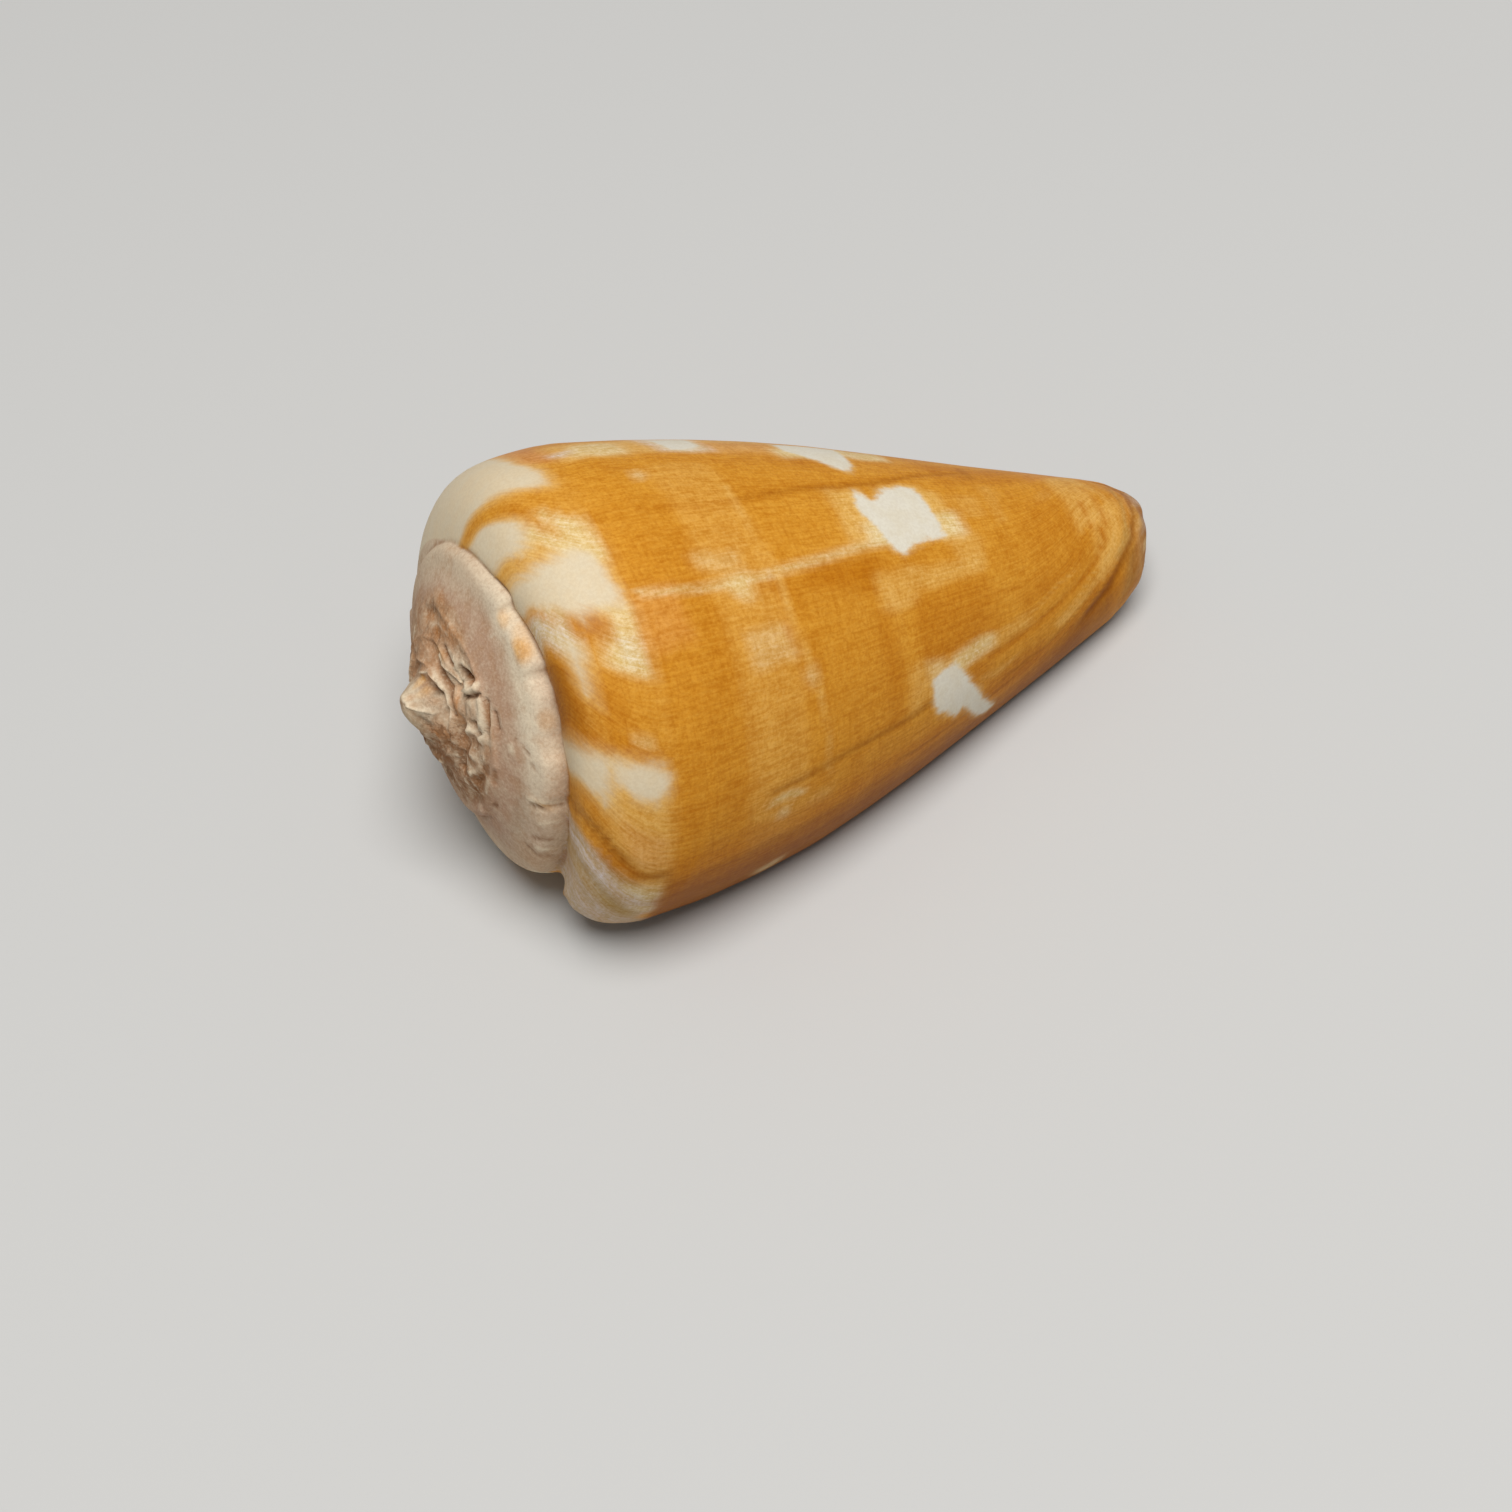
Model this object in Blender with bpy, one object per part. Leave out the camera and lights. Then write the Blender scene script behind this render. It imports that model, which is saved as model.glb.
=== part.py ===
"""A cone shell lying on its mouth side. Metres, +Z up.

The origin is on the surface that the shell lies on, under the middle of its box. +X runs from the apex to
the front end. The shell is one grown piece: a spiral wall that is followed here step by step, from the apex
to the outer lip, over the lip's edge and back into the mouth.
"""

import math

import bmesh
import bpy
from mathutils import Matrix, Vector, noise

MM = 0.001

# The whole shell, in millimetres and degrees. Growth is counted in turns: 0 at the lip, -1 one whorl back
LENGTH = 45.0  # apex to front end, along the shell's axis
LIP_RADIUS = 14.05  # from the axis to the shoulder at the lip
EXPANSION = 1.44  # a whorl's shoulder radius over that of the whorl before it
LIP_ANGLE = 221.5  # where the lip stands round the axis, counted from +Y over +Z
AXIS_TILT = 11.5  # the front end lies this much lower than the apex

# The spire: how far below the apex each shoulder stands
SPIRE_SLOPE = 0.44  # that depth over the shoulder's radius
VALLEY_DEPTH = 0.18  # the worn hollow round the pointed apex
VALLEY_RADIUS = 2.4
VALLEY_WIDTH = 0.9
DESCENT = 0.45  # the last whorl drops by this much before the lip
DESCENT_TURNS = 0.3
RAMP_HOLLOW, HOLLOW_TURNS = 0.30, 0.5  # the ramp between suture and shoulder sags towards the lip
SWELLS = ((-1.23, 0.10, 0.32), (-1.0, 0.05, 0.35))  # thicker stretches: turn, how far each way, height

# The shoulder is an arc between the ramp and the side: tight on the spire, broad on the last whorl's back,
# and tighter again at the lip. The next whorl grows onto it: nearly flush on the old spire, lower and lower
# on the last whorl.
SUTURE_ALONG_SIDE = 0.020
ARC_START_TIGHT, ARC_START_BROAD = 0.38, 0.34  # as a share of the ramp
ARC_END_TIGHT, ARC_END_BROAD = 0.055, 0.155  # as a share of the side
BROADENING_TURNS = 0.65
LIP_TIGHTENING, LIP_TIGHTENING_TURNS = 0.75, 0.16
SUTURE_PLACES = ((-1.4, 0.30), (-1.0, 0.42), (-0.44, 0.50), (-0.2, 0.80), (0.0, 0.88))  # turn, place on the arc
LIP_DRAWN_IN, DRAWN_IN_TURNS, DRAWN_IN_FADE = 0.50, 0.10, 6  # the shoulder narrows by this much just before the lip

# The side, from the shoulder to the front end
FRONT_RADIUS = 3.6  # at the lip
FRONT_EXPANSION = 2.25  # the front end's radius at the lip over that one whorl back
SIDE_BULGE = 0.203  # as a share of the shoulder radius
SIDE_FULLNESS = 0.054
FRONT_ROUNDING = 0.103  # the share of the side that the rounded front end takes
FRONT_SQUARENESS = 2.86
FRONT_SLANT = 0.65  # the front end stands this much further back on the lip's side

# The wall and the mouth
WALL = 1.2
LIP_EDGE = 0.7  # the wall thins to this at the lip
THINNING_TURNS = 0.09
MOUTH_OPENING_TURNS = 0.14  # the hollow closes over this stretch at its inner end

# How finely the wall is followed
STEPS = 64  # steps in a turn
SPIRE_TURNS = 4  # whorls that show above the last one
POCKET_STEPS = 27  # how far the mouth's hollow goes back, in steps
ABOVE_SUTURE = (0.0, 0.45, 0.75, 1.0)  # rows of the shoulder's arc, up to where the next whorl grows on
BELOW_SUTURE = (0.35, 0.70)  # and from there to the side
SUTURE_ROW = 1 + len(ABOVE_SUTURE)
MOUTH_ROW = SUTURE_ROW + 1  # the first row that bounds the mouth's hollow
SIDE_ROWS = 10
FRONT_ROWS = (0.35, 0.60, 0.82)  # rows round the front end, as shares of the way to its rim
RIM_PLACE = 0.75  # where the open rim stands on the rounded front end
CLOSED_RIM_PLACE = 0.93
CAP_PLACES = (0.35, 0.75)  # rows between the rim and the pole of the front end
NIPPLE_RINGS = (0.72, 0.45, 0.20)
NIPPLE_BLUNTNESS = 1.2

# The worn spire: pits and ridges inside this radius, fading out over the next whorl
WORN_RADIUS = 4.9
WORN_FADE = 1.2
WORN_CALM_RADIUS = 1.5  # the tip itself is smooth
WORN_RELIEF = 0.22
RIDGES_AROUND, RIDGES_ACROSS = 1.36, 1.45  # how fast the ridges change round the axis and along the radius
PIT_EDGE = 3  # how sharply a pit's wall drops
WAVE_RELIEF = 0.10  # slow waves of the whole surface
WAVE_LENGTH = 7.0
END_FACING, SIDE_FACING = 3.0, 11.0  # waves act along the axis up to here, and outward from there on
# Each pit: degrees round the axis, radius from it, length along the whorl, width and depth
PITS = (
    (123.0, 3.70, 0.85, 0.60, 0.50),
    (168.0, 3.55, 0.90, 0.60, 0.50),
    (140.0, 2.45, 0.80, 0.55, 0.30),
    (88.0, 3.10, 1.10, 0.60, 0.28),
    (196.0, 3.90, 1.00, 0.60, 0.30),
    (222.0, 5.00, 0.70, 0.55, 0.25),
    (64.0, 4.30, 1.10, 0.60, 0.25),
    (25.0, 1.95, 1.30, 0.65, 0.35),
    (262.0, 3.90, 1.30, 0.65, 0.30),
    (318.0, 3.30, 1.10, 0.60, 0.30),
)

FLAT_SPOT_DEPTH = 0.12  # the underside is worn flat by this much where it lies
SHELL_COLOUR = (0.72, 0.36, 0.09, 1.0)


def blend(start, end, share):
    return start + (end - start) * share


def smooth(value):
    value = min(max(value, 0.0), 1.0)
    return value * value * (3.0 - 2.0 * value)


def shoulder_radius(turn):
    radius = LIP_RADIUS * EXPANSION**turn
    for middle, reach, height in SWELLS:
        radius += height * math.exp(-(((turn - middle) / reach) ** 2))
    return radius


def shoulder_depth(turn):
    """Distance from the apex to the shoulder along the axis."""
    radius = shoulder_radius(turn)
    valley = VALLEY_DEPTH * math.exp(-(((radius - VALLEY_RADIUS) / VALLEY_WIDTH) ** 2))
    late = max(0.0, 1.0 + turn / DESCENT_TURNS)
    return SPIRE_SLOPE * radius + valley + DESCENT * late**2


def side_point(turn, share):
    """A point of the side without its rounded shoulder: share 0 at the shoulder, 1 at the front end."""
    top = shoulder_depth(turn)
    end = LENGTH - FRONT_SLANT * (1.0 + math.cos(math.tau * turn)) / 2.0
    front = FRONT_RADIUS / LIP_RADIUS
    width = 1.0 - (1.0 - front) * share
    width += SIDE_BULGE * 4.0 * share * (1.0 - share) ** 2
    width += SIDE_FULLNESS * 4.0 * share**2 * (1.0 - share)
    rounding = max(0.0, (share - (1.0 - FRONT_ROUNDING)) / FRONT_ROUNDING)
    width *= max(0.0, 1.0 - rounding**FRONT_SQUARENESS) ** (1.0 / FRONT_SQUARENESS)
    width *= (FRONT_EXPANSION / EXPANSION) ** (turn * share**2)
    drawn_in = LIP_DRAWN_IN * smooth(1.0 + turn / DRAWN_IN_TURNS) * (1.0 - share) ** DRAWN_IN_FADE
    return Vector((blend(top, end, share), shoulder_radius(turn) * width - drawn_in))


def broadness(turn):
    """How broad the shoulder is: 0 on the spire, 1 on the last whorl's back."""
    tightened = LIP_TIGHTENING * smooth(1.0 + turn / LIP_TIGHTENING_TURNS)
    return smooth((turn + 1.0) / BROADENING_TURNS) * (1.0 - tightened)


def arc_controls(turn):
    """The shoulder's arc: where it leaves the ramp, the corner that it rounds, and where it joins the side."""
    broad = broadness(turn)
    inner = side_point(turn - 1.0, SUTURE_ALONG_SIDE)
    corner = side_point(turn, 0.0)
    start = inner.lerp(corner, blend(ARC_START_TIGHT, ARC_START_BROAD, broad))
    end = side_point(turn, blend(ARC_END_TIGHT, ARC_END_BROAD, broad))
    return start, corner, end


def arc_point(turn, place):
    start, corner, end = arc_controls(turn)
    return start.lerp(corner, place).lerp(corner.lerp(end, place), place)


def suture_place(turn):
    """How far along the shoulder's arc of the whorl within this turn grows on."""
    place = SUTURE_PLACES[0][1]
    for (start, before), (end, after) in zip(SUTURE_PLACES, SUTURE_PLACES[1:]):
        if turn > start:
            place = blend(before, after, smooth((turn - start) / (end - start)))
    return place


def rim_place(turn):
    """Where the rim stands on the front end: further round it where the mouth's hollow begins."""
    from_pocket = abs(turn + POCKET_STEPS / STEPS)
    return blend(CLOSED_RIM_PLACE, RIM_PLACE, smooth(from_pocket / (POCKET_STEPS / STEPS)))


def front_share(place):
    """A place on the rounded front end, 0 where it begins and 1 at its pole, as a share of the side."""
    return 1.0 - FRONT_ROUNDING * (1.0 - place)


def profile(turn):
    """The outline of the whorl at this turn, as (along the axis, radius), from its suture to its rim."""
    suture = arc_point(turn - 1.0, suture_place(turn))
    covered = suture_place(turn + 1.0)
    arc = [arc_point(turn, covered * row) for row in ABOVE_SUTURE]
    arc += [arc_point(turn, blend(covered, 1.0, row)) for row in BELOW_SUTURE]
    sag = RAMP_HOLLOW * smooth(1.0 + turn / HOLLOW_TURNS)
    ramp = suture.lerp(arc[0], 0.5) + Vector((sag, 0.0))
    first = blend(ARC_END_TIGHT, ARC_END_BROAD, broadness(turn))
    shares = [blend(first, front_share(0.0), row / (SIDE_ROWS - 1)) for row in range(SIDE_ROWS)]
    shares += [front_share(rim_place(turn) * row) for row in FRONT_ROWS]
    shares.append(front_share(rim_place(turn)))
    return [suture, ramp] + arc + [side_point(turn, share) for share in shares]


RIM_ROW = len(profile(0.0)) - 1


def cap_point(turn, place):
    return side_point(turn, front_share(blend(rim_place(turn), 1.0, place)))


def on_axis(turn, point):
    """The (along the axis, radius) point turned to its place round the shell's axis, which is X."""
    angle = math.radians(LIP_ANGLE) + math.tau * turn
    return Vector((point.x, point.y * math.cos(angle), point.y * math.sin(angle)))


def worn(point):
    """A point of the outside with the spire's pits and ridges and the shell's slow waves."""
    radius = math.hypot(point.y, point.z)
    angle = math.atan2(point.z, point.y)
    around = Vector((0.0, math.cos(angle), math.sin(angle)))
    upward = Vector((-1.0, 0.0, 0.0))
    outward = upward.slerp(around, smooth((point.x - END_FACING) / (SIDE_FACING - END_FACING)))
    wave = WAVE_RELIEF * noise.noise(point / WAVE_LENGTH)
    height = 0.0
    if point.x < WORN_RADIUS + WORN_FADE and radius < WORN_RADIUS + WORN_FADE:
        inside = smooth((WORN_RADIUS + WORN_FADE - radius) / WORN_FADE) * smooth(radius / WORN_CALM_RADIUS)
        ridges = around * RIDGES_AROUND + Vector((radius * RIDGES_ACROSS, 0.0, 0.0))
        height += inside * WORN_RELIEF * noise.noise(ridges)
        for degrees, pit_radius, length, width, depth in PITS:
            turned = (angle - math.radians(degrees) + math.pi) % math.tau - math.pi
            distance = math.hypot((radius - pit_radius) / width, turned * pit_radius / length)
            height -= depth * math.exp(-(distance**PIT_EDGE))
    return point + outward * wave + upward * height


def inner_wall(turn):
    """The mouth's ceiling at this turn: the profile set in by the wall, closing onto the whorl within."""
    outer = profile(turn)
    floor = profile(turn - 1.0)
    wall = blend(LIP_EDGE, WALL, smooth(-turn / THINNING_TURNS))
    opened = smooth((turn + POCKET_STEPS / STEPS) / MOUTH_OPENING_TURNS)
    points = {}
    for row in range(2, RIM_ROW + 1):
        following = outer[min(row + 1, RIM_ROW)] - outer[row - 1]
        inward = Vector((following.y, -following.x)).normalized()
        inset = outer[row] + inward * wall
        onto = floor[max(row, MOUTH_ROW)]
        points[row] = onto.lerp(inset, opened)
    return points


def grow_shell():
    """The closed surface of the shell. A vertex is named by its step of growth and its row."""
    mesh = bmesh.new()
    vertices = {}
    profiles = {}

    def key_of(step, row):
        if step <= -STEPS and row == SUTURE_ROW:
            return (step + STEPS, 0)
        return (step, row)

    def skin(step, row):
        """The outside of the wall, which is also the mouth's floor where a later whorl covers it."""
        key = key_of(step, row)
        if key not in vertices:
            step, row = key
            turn = step / STEPS
            if step not in profiles:
                profiles[step] = profile(turn)
            if row > RIM_ROW:
                point = cap_point(turn, CAP_PLACES[row - RIM_ROW - 1])
            else:
                point = profiles[step][row]
            vertices[key] = mesh.verts.new(worn(on_axis(turn, point)))
        return vertices[key]

    ceilings = {}

    def lining(step, row):
        """The inside of the outer wall, from the mouth's roof to its rim."""
        if row == 1 or (step == -POCKET_STEPS and row < MOUTH_ROW):
            return skin(step - STEPS, MOUTH_ROW)
        if step == -POCKET_STEPS:
            return skin(step - STEPS, row)
        key = ("lining", step, row)
        if key not in vertices:
            turn = step / STEPS
            if step not in ceilings:
                ceilings[step] = inner_wall(turn)
            vertices[key] = mesh.verts.new(on_axis(turn, ceilings[step][row]))
        return vertices[key]

    def face(*corners):
        kept = []
        for corner in corners:
            if corner not in kept:
                kept.append(corner)
        if len(kept) > 2:
            mesh.faces.new(kept)

    def patch(surface, steps, rows):
        for step in steps:
            for row in rows:
                face(
                    surface(step, row),
                    surface(step + 1, row),
                    surface(step + 1, row + 1),
                    surface(step, row + 1),
                )

    first = -(SPIRE_TURNS + 1) * STEPS
    pocket = -POCKET_STEPS
    patch(skin, range(first, -STEPS), range(SUTURE_ROW))
    patch(skin, range(-STEPS, 0), range(RIM_ROW))
    patch(skin, range(pocket - STEPS, -STEPS), range(MOUTH_ROW, RIM_ROW))
    patch(lining, range(pocket, 0), range(1, RIM_ROW))

    # The lip's edge, and the rim of the open front end
    face(skin(0, 0), skin(0, 1), skin(-STEPS, MOUTH_ROW))
    for row in range(1, RIM_ROW):
        face(skin(0, row), skin(0, row + 1), lining(0, row + 1), lining(0, row))
    for step in range(pocket, 0):
        face(skin(step, RIM_ROW), skin(step + 1, RIM_ROW), lining(step + 1, RIM_ROW), lining(step, RIM_ROW))

    # The front end: closed over the outer wall, and over the whorl within where the mouth is open
    ring = list(range(-STEPS, pocket + 1)) + list(range(pocket - STEPS + 1, -STEPS + 1))
    pole = mesh.verts.new((LENGTH, 0.0, 0.0))
    last_cap = RIM_ROW + len(CAP_PLACES)
    for here, there in zip(ring, ring[1:]):
        corners = [skin(here, RIM_ROW), skin(there, RIM_ROW), skin(there, RIM_ROW + 1), skin(here, RIM_ROW + 1)]
        if here == pocket:
            corners.insert(1, skin(pocket - STEPS, RIM_ROW))
        face(*corners)
        for row in range(RIM_ROW + 1, last_cap):
            face(skin(here, row), skin(there, row), skin(there, row + 1), skin(here, row + 1))
        face(skin(here, last_cap), skin(there, last_cap), pole)

    # The pointed apex, inside the first whorl that is followed
    inner = [skin(step, 0) for step in range(first, first + STEPS)]
    edge = inner
    for share in NIPPLE_RINGS:
        shrunk = []
        for corner in inner:
            place = Vector((corner.co.x * share**NIPPLE_BLUNTNESS, corner.co.y * share, corner.co.z * share))
            shrunk.append(mesh.verts.new(place))
        for index in range(STEPS):
            following = (index + 1) % STEPS
            if edge is inner and following == 0:
                face(edge[index], skin(first + STEPS, 0), shrunk[0], shrunk[index])
                for row in range(SUTURE_ROW):
                    face(skin(first, row + 1), skin(first, row), shrunk[0])
            else:
                face(edge[index], edge[following], shrunk[following], shrunk[index])
        edge = shrunk
    apex = mesh.verts.new((0.0, 0.0, 0.0))
    for index in range(STEPS):
        face(edge[index], edge[(index + 1) % STEPS], apex)
    return mesh


def lay_down(mesh):
    """Tilts the shell onto its mouth side, wears the spots that it lies on flat, and centres it."""
    tilt = Matrix.Rotation(math.radians(AXIS_TILT), 4, "Y")
    bmesh.ops.transform(mesh, matrix=tilt, verts=mesh.verts)
    lowest = min(vertex.co.z for vertex in mesh.verts) + FLAT_SPOT_DEPTH
    for vertex in mesh.verts:
        vertex.co.z = max(vertex.co.z - lowest, 0.0)
    middle_x = (min(v.co.x for v in mesh.verts) + max(v.co.x for v in mesh.verts)) / 2.0
    middle_y = (min(v.co.y for v in mesh.verts) + max(v.co.y for v in mesh.verts)) / 2.0
    centre = Matrix.Translation((-middle_x, -middle_y, 0.0))
    bmesh.ops.transform(mesh, matrix=Matrix.Scale(MM, 4) @ centre, verts=mesh.verts)


def shell_material():
    material = bpy.data.materials.new("shell")
    material.use_nodes = True
    shader = material.node_tree.nodes["Principled BSDF"]
    shader.inputs["Base Color"].default_value = SHELL_COLOUR
    shader.inputs["Roughness"].default_value = 0.42
    shader.inputs["Metallic"].default_value = 0.0
    return material


def make_shell():
    mesh = grow_shell()
    lay_down(mesh)
    bmesh.ops.recalc_face_normals(mesh, faces=mesh.faces)
    data = bpy.data.meshes.new("shell")
    mesh.to_mesh(data)
    mesh.free()
    data.shade_smooth()
    data.materials.append(shell_material())
    shell = bpy.data.objects.new("shell", data)
    bpy.context.scene.collection.objects.link(shell)
    return shell


for old in list(bpy.data.objects):
    bpy.data.objects.remove(old, do_unlink=True)
make_shell()
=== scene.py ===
# %% [markdown]
# # A cone shell on a pale table
#
# The shell is one piece that grew by itself, so nothing on it was ever cut, glued or painted. Its form is
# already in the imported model. What is still missing is what makes it look real: the soft, worn surface of
# the spire, the fine lines of growth, and the orange and white colouring.
#
# Every step below first says what the thing is on a real shell, then how it could be made, and why it is
# made the way it is here.

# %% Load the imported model
import math

import bpy
import numpy as np
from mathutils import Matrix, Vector, noise
from mathutils.bvhtree import BVHTree


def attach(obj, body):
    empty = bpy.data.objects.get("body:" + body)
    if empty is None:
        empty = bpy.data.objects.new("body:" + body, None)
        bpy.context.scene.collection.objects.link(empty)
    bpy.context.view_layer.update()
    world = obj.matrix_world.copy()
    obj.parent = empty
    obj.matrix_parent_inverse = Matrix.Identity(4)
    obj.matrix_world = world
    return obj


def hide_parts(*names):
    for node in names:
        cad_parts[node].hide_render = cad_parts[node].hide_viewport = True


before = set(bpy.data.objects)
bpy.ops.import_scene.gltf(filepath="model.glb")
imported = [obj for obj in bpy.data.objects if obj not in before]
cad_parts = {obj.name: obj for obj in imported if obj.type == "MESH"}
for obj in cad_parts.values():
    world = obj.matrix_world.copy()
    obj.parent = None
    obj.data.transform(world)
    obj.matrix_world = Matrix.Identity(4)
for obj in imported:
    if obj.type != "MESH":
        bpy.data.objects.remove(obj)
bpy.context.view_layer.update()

# %% [markdown]
# ## The shell's own coordinates
#
# A shell grows along a spiral, and its colours and lines follow that growth. A pattern laid on in plain
# x, y and z would cut across them. So each point of the surface also gets its place in the shell's own
# terms: how far it is along the axis from the pointed end, how far it is from the axis, and at which angle
# round it. All three come from the spot where the apex is and the way the axis leans.

# %% Where the axis is
MM = 0.001
APEX = np.array([-22.079, 1.117, 12.025])  # in millimetres
AXIS_TILT = math.radians(11.5)


def shell_place(points):
    """Points in metres as (distance along the axis, distance from it, angle round it), mm and degrees."""
    offset = np.asarray(points) / MM - APEX
    along = offset[:, 0] * math.cos(AXIS_TILT) - offset[:, 2] * math.sin(AXIS_TILT)
    up = offset[:, 0] * math.sin(AXIS_TILT) + offset[:, 2] * math.cos(AXIS_TILT)
    radius = np.hypot(offset[:, 1], up)
    angle = np.degrees(np.arctan2(up, offset[:, 1])) % 360.0
    return along, radius, angle


print("the axis leans down by %.1f degrees towards the front end" % math.degrees(AXIS_TILT))

# %% [markdown]
# ## The surface
#
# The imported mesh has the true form, but its flat faces are a millimetre wide and would show in the outline.
# It could be rebuilt from nothing, yet then it would never fit the solid exactly. So a copy of it is merged
# back into quads and rounded by a Subdivision Surface, as a modeller rounds a cage.

# %% Copy the shell and merge it
bpy.ops.object.select_all(action="DESELECT")
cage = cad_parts["shell"]
surface = bpy.data.objects.new("shell_surface", cage.data.copy())
bpy.context.scene.collection.objects.link(surface)
bpy.context.view_layer.objects.active = surface
surface.select_set(True)

bpy.ops.object.mode_set(mode="EDIT")
bpy.ops.mesh.select_all(action="SELECT")
bpy.ops.mesh.remove_doubles(threshold=1e-6)
bpy.ops.mesh.tris_convert_to_quads(face_threshold=math.pi, shape_threshold=math.pi)
bpy.ops.mesh.select_all(action="DESELECT")
bpy.ops.mesh.select_mode(type="EDGE")
bpy.ops.object.mode_set(mode="OBJECT")
mesh = surface.data
print("faces in the cage:", len(mesh.polygons))

# %% [markdown]
# On the side the cage's faces are long and narrow, and by hand a loop cut would halve them. Here the long
# edges that run along the axis are selected and subdivided, so that the finished faces are nearly square. It
# is done in edge mode: in vertex mode every edge between two chosen corners would be cut as well.

# %% Cut the long faces of the side in two
LONG_EDGE = 2.6 * MM
ALONG_SHARE = 0.8  # how much of its length an edge has to run along the axis
axis = Vector((math.cos(AXIS_TILT), 0.0, -math.sin(AXIS_TILT)))
long_edges = 0
for edge in mesh.edges:
    start, end = (mesh.vertices[index].co for index in edge.vertices)
    length = (end - start).length
    edge.select = length > LONG_EDGE and abs((end - start).dot(axis)) > ALONG_SHARE * length
    long_edges += edge.select
bpy.ops.object.mode_set(mode="EDIT")
bpy.ops.mesh.subdivide(number_cuts=1, smoothness=0.0)
bpy.ops.object.mode_set(mode="OBJECT")
print("long edges cut:", long_edges)

# %% [markdown]
# Rounding pulls the corners of a cage inward, and the finished shell would come out a little too small and
# too smooth. So it is done twice: once on a spare copy, to see how far each corner is pulled in, and then
# for good, on a cage that was pushed out by as much.

# %% Push the cage out, then round it
PUSHED_BACK = 0.9  # the share of the pull that is made up for


def round_off(piece):
    bpy.context.view_layer.objects.active = piece
    rounding = piece.modifiers.new("rounding", "SUBSURF")
    rounding.levels = rounding.render_levels = 2
    bpy.ops.object.modifier_apply(modifier="rounding")


spare = bpy.data.objects.new("spare", surface.data.copy())
bpy.context.scene.collection.objects.link(spare)
round_off(spare)
pull = []
for vertex, pulled in zip(surface.data.vertices, spare.data.vertices):
    pull.append((vertex.co - pulled.co).length)
    vertex.co += PUSHED_BACK * (vertex.co - pulled.co)
bpy.data.objects.remove(spare)
round_off(surface)
mesh = surface.data
mesh.shade_smooth()
for vertex in mesh.vertices:
    vertex.co.z = max(vertex.co.z, 0.0)
print("largest pull %.2f mm, quads: %d" % (max(pull) / MM, len(mesh.polygons)))

# %% [markdown]
# Everything from here on is done to all points at once, so their places and normals are read into tables of
# numbers. It could be done vertex by vertex, but with eighty thousand of them the tables are far quicker.

# %% Read the points of the rounded surface
count = len(mesh.vertices)
points = np.empty(count * 3)
mesh.vertices.foreach_get("co", points)
points = points.reshape(-1, 3)
normals = np.empty(count * 3)
mesh.vertices.foreach_get("normal", normals)
normals = normals.reshape(-1, 3)
along, radius, angle = shell_place(points)
print("along the axis %.2f to %.2f mm, out to %.2f mm" % (along.min(), along.max(), radius.max()))

# %% [markdown]
# ## Turns of growth
#
# The last whorl begins at the lip and runs one turn back. Counting turns from the lip, every point of it
# gets a number between -1 and 0. The suture is the line where the last whorl grew onto the one before, and
# it opens out as it goes. A few radii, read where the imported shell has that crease, describe it.

# %% The suture
LIP_ANGLE = 221.5  # degrees round the axis, where growth ends at the lip
SUTURE_TURNS = [-1.0, -0.9, -0.7, -0.45, -0.4, -0.3, -0.25, -0.2, -0.1, -0.05, 0.0]
SUTURE_RADII = [6.35, 6.6, 7.15, 7.9, 8.1, 8.75, 9.1, 9.3, 9.4, 9.7, 10.05]


def turns_to_lip(angle):
    """-1 where the last whorl begins, and 0 where it ends at the lip."""
    return ((angle - LIP_ANGLE) % 360.0) / 360.0 - 1.0


turn = turns_to_lip(angle)
beyond_suture = radius - np.interp(turn, SUTURE_TURNS, SUTURE_RADII)
print("suture opens from %.1f to %.1f mm" % (SUTURE_RADII[0], SUTURE_RADII[-1]))

# %% [markdown]
# The mouth is the narrow gap under the lip. Its inside has another colour than the outside, so its points
# are found by looking out from each of them along its normal: whoever sees another wall close by is inside.

# %% The inside of the mouth
MOUTH_START = 6.6  # the mouth opens this far along the axis, in mm
OFF_THE_WALL = 0.05  # the look begins this far off the surface, in mm, or a point would see itself
SIGHT = 7.0 * MM
tree = BVHTree.FromPolygons([tuple(p) for p in points], [tuple(f.vertices) for f in mesh.polygons])
inside = np.zeros(count)
for index in np.flatnonzero(along > MOUTH_START):
    normal = Vector(normals[index])
    hit = tree.ray_cast(Vector(points[index]) + normal * OFF_THE_WALL * MM, normal, SIGHT)
    inside[index] = hit[0] is not None
in_the_open = inside < 0.5
print("points inside the mouth:", int(inside.sum()))

# %% [markdown]
# The lip's edge stands just past the end of the last turn, over the place where that turn began. Its points
# lie much further from the axis than the young whorl below them, and that is how they are told apart.

# %% The lip's edge belongs to the end of growth
YOUNG_TURNS = (-0.97, -0.90)  # the young whorl beside the lip's edge, to compare with
LIP_START = 5.0  # the lip begins this far along the axis, in mm
LIP_STANDS_OUT = 1.13  # its edge lies further out than the young whorl by at least this factor
young = (turn > YOUNG_TURNS[0]) & (turn < YOUNG_TURNS[1]) & in_the_open & (along > LIP_START)
order = np.argsort(along[young])
young_radius = np.interp(along, along[young][order], radius[young][order])
on_lip = (turn < YOUNG_TURNS[0]) & (radius > LIP_STANDS_OUT * young_radius) & (along > LIP_START)
turn = np.where(on_lip, turn + 1.0, turn)
beyond_suture = np.where(on_lip, radius - SUTURE_RADII[-1], beyond_suture)
print("points on the lip's edge:", int(on_lip.sum()))

# %% [markdown]
# ## The rim of the spire
#
# Where the last whorl grew onto the old ones, the old shoulder stands out as a rounded rim, chipped and wavy
# on the real shell. Displacing the whole shell with a texture would not put the chips where they are, so the
# points near the rim are simply pushed, as with a grab brush: the table says how far out or in the rim runs
# at each angle.

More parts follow.
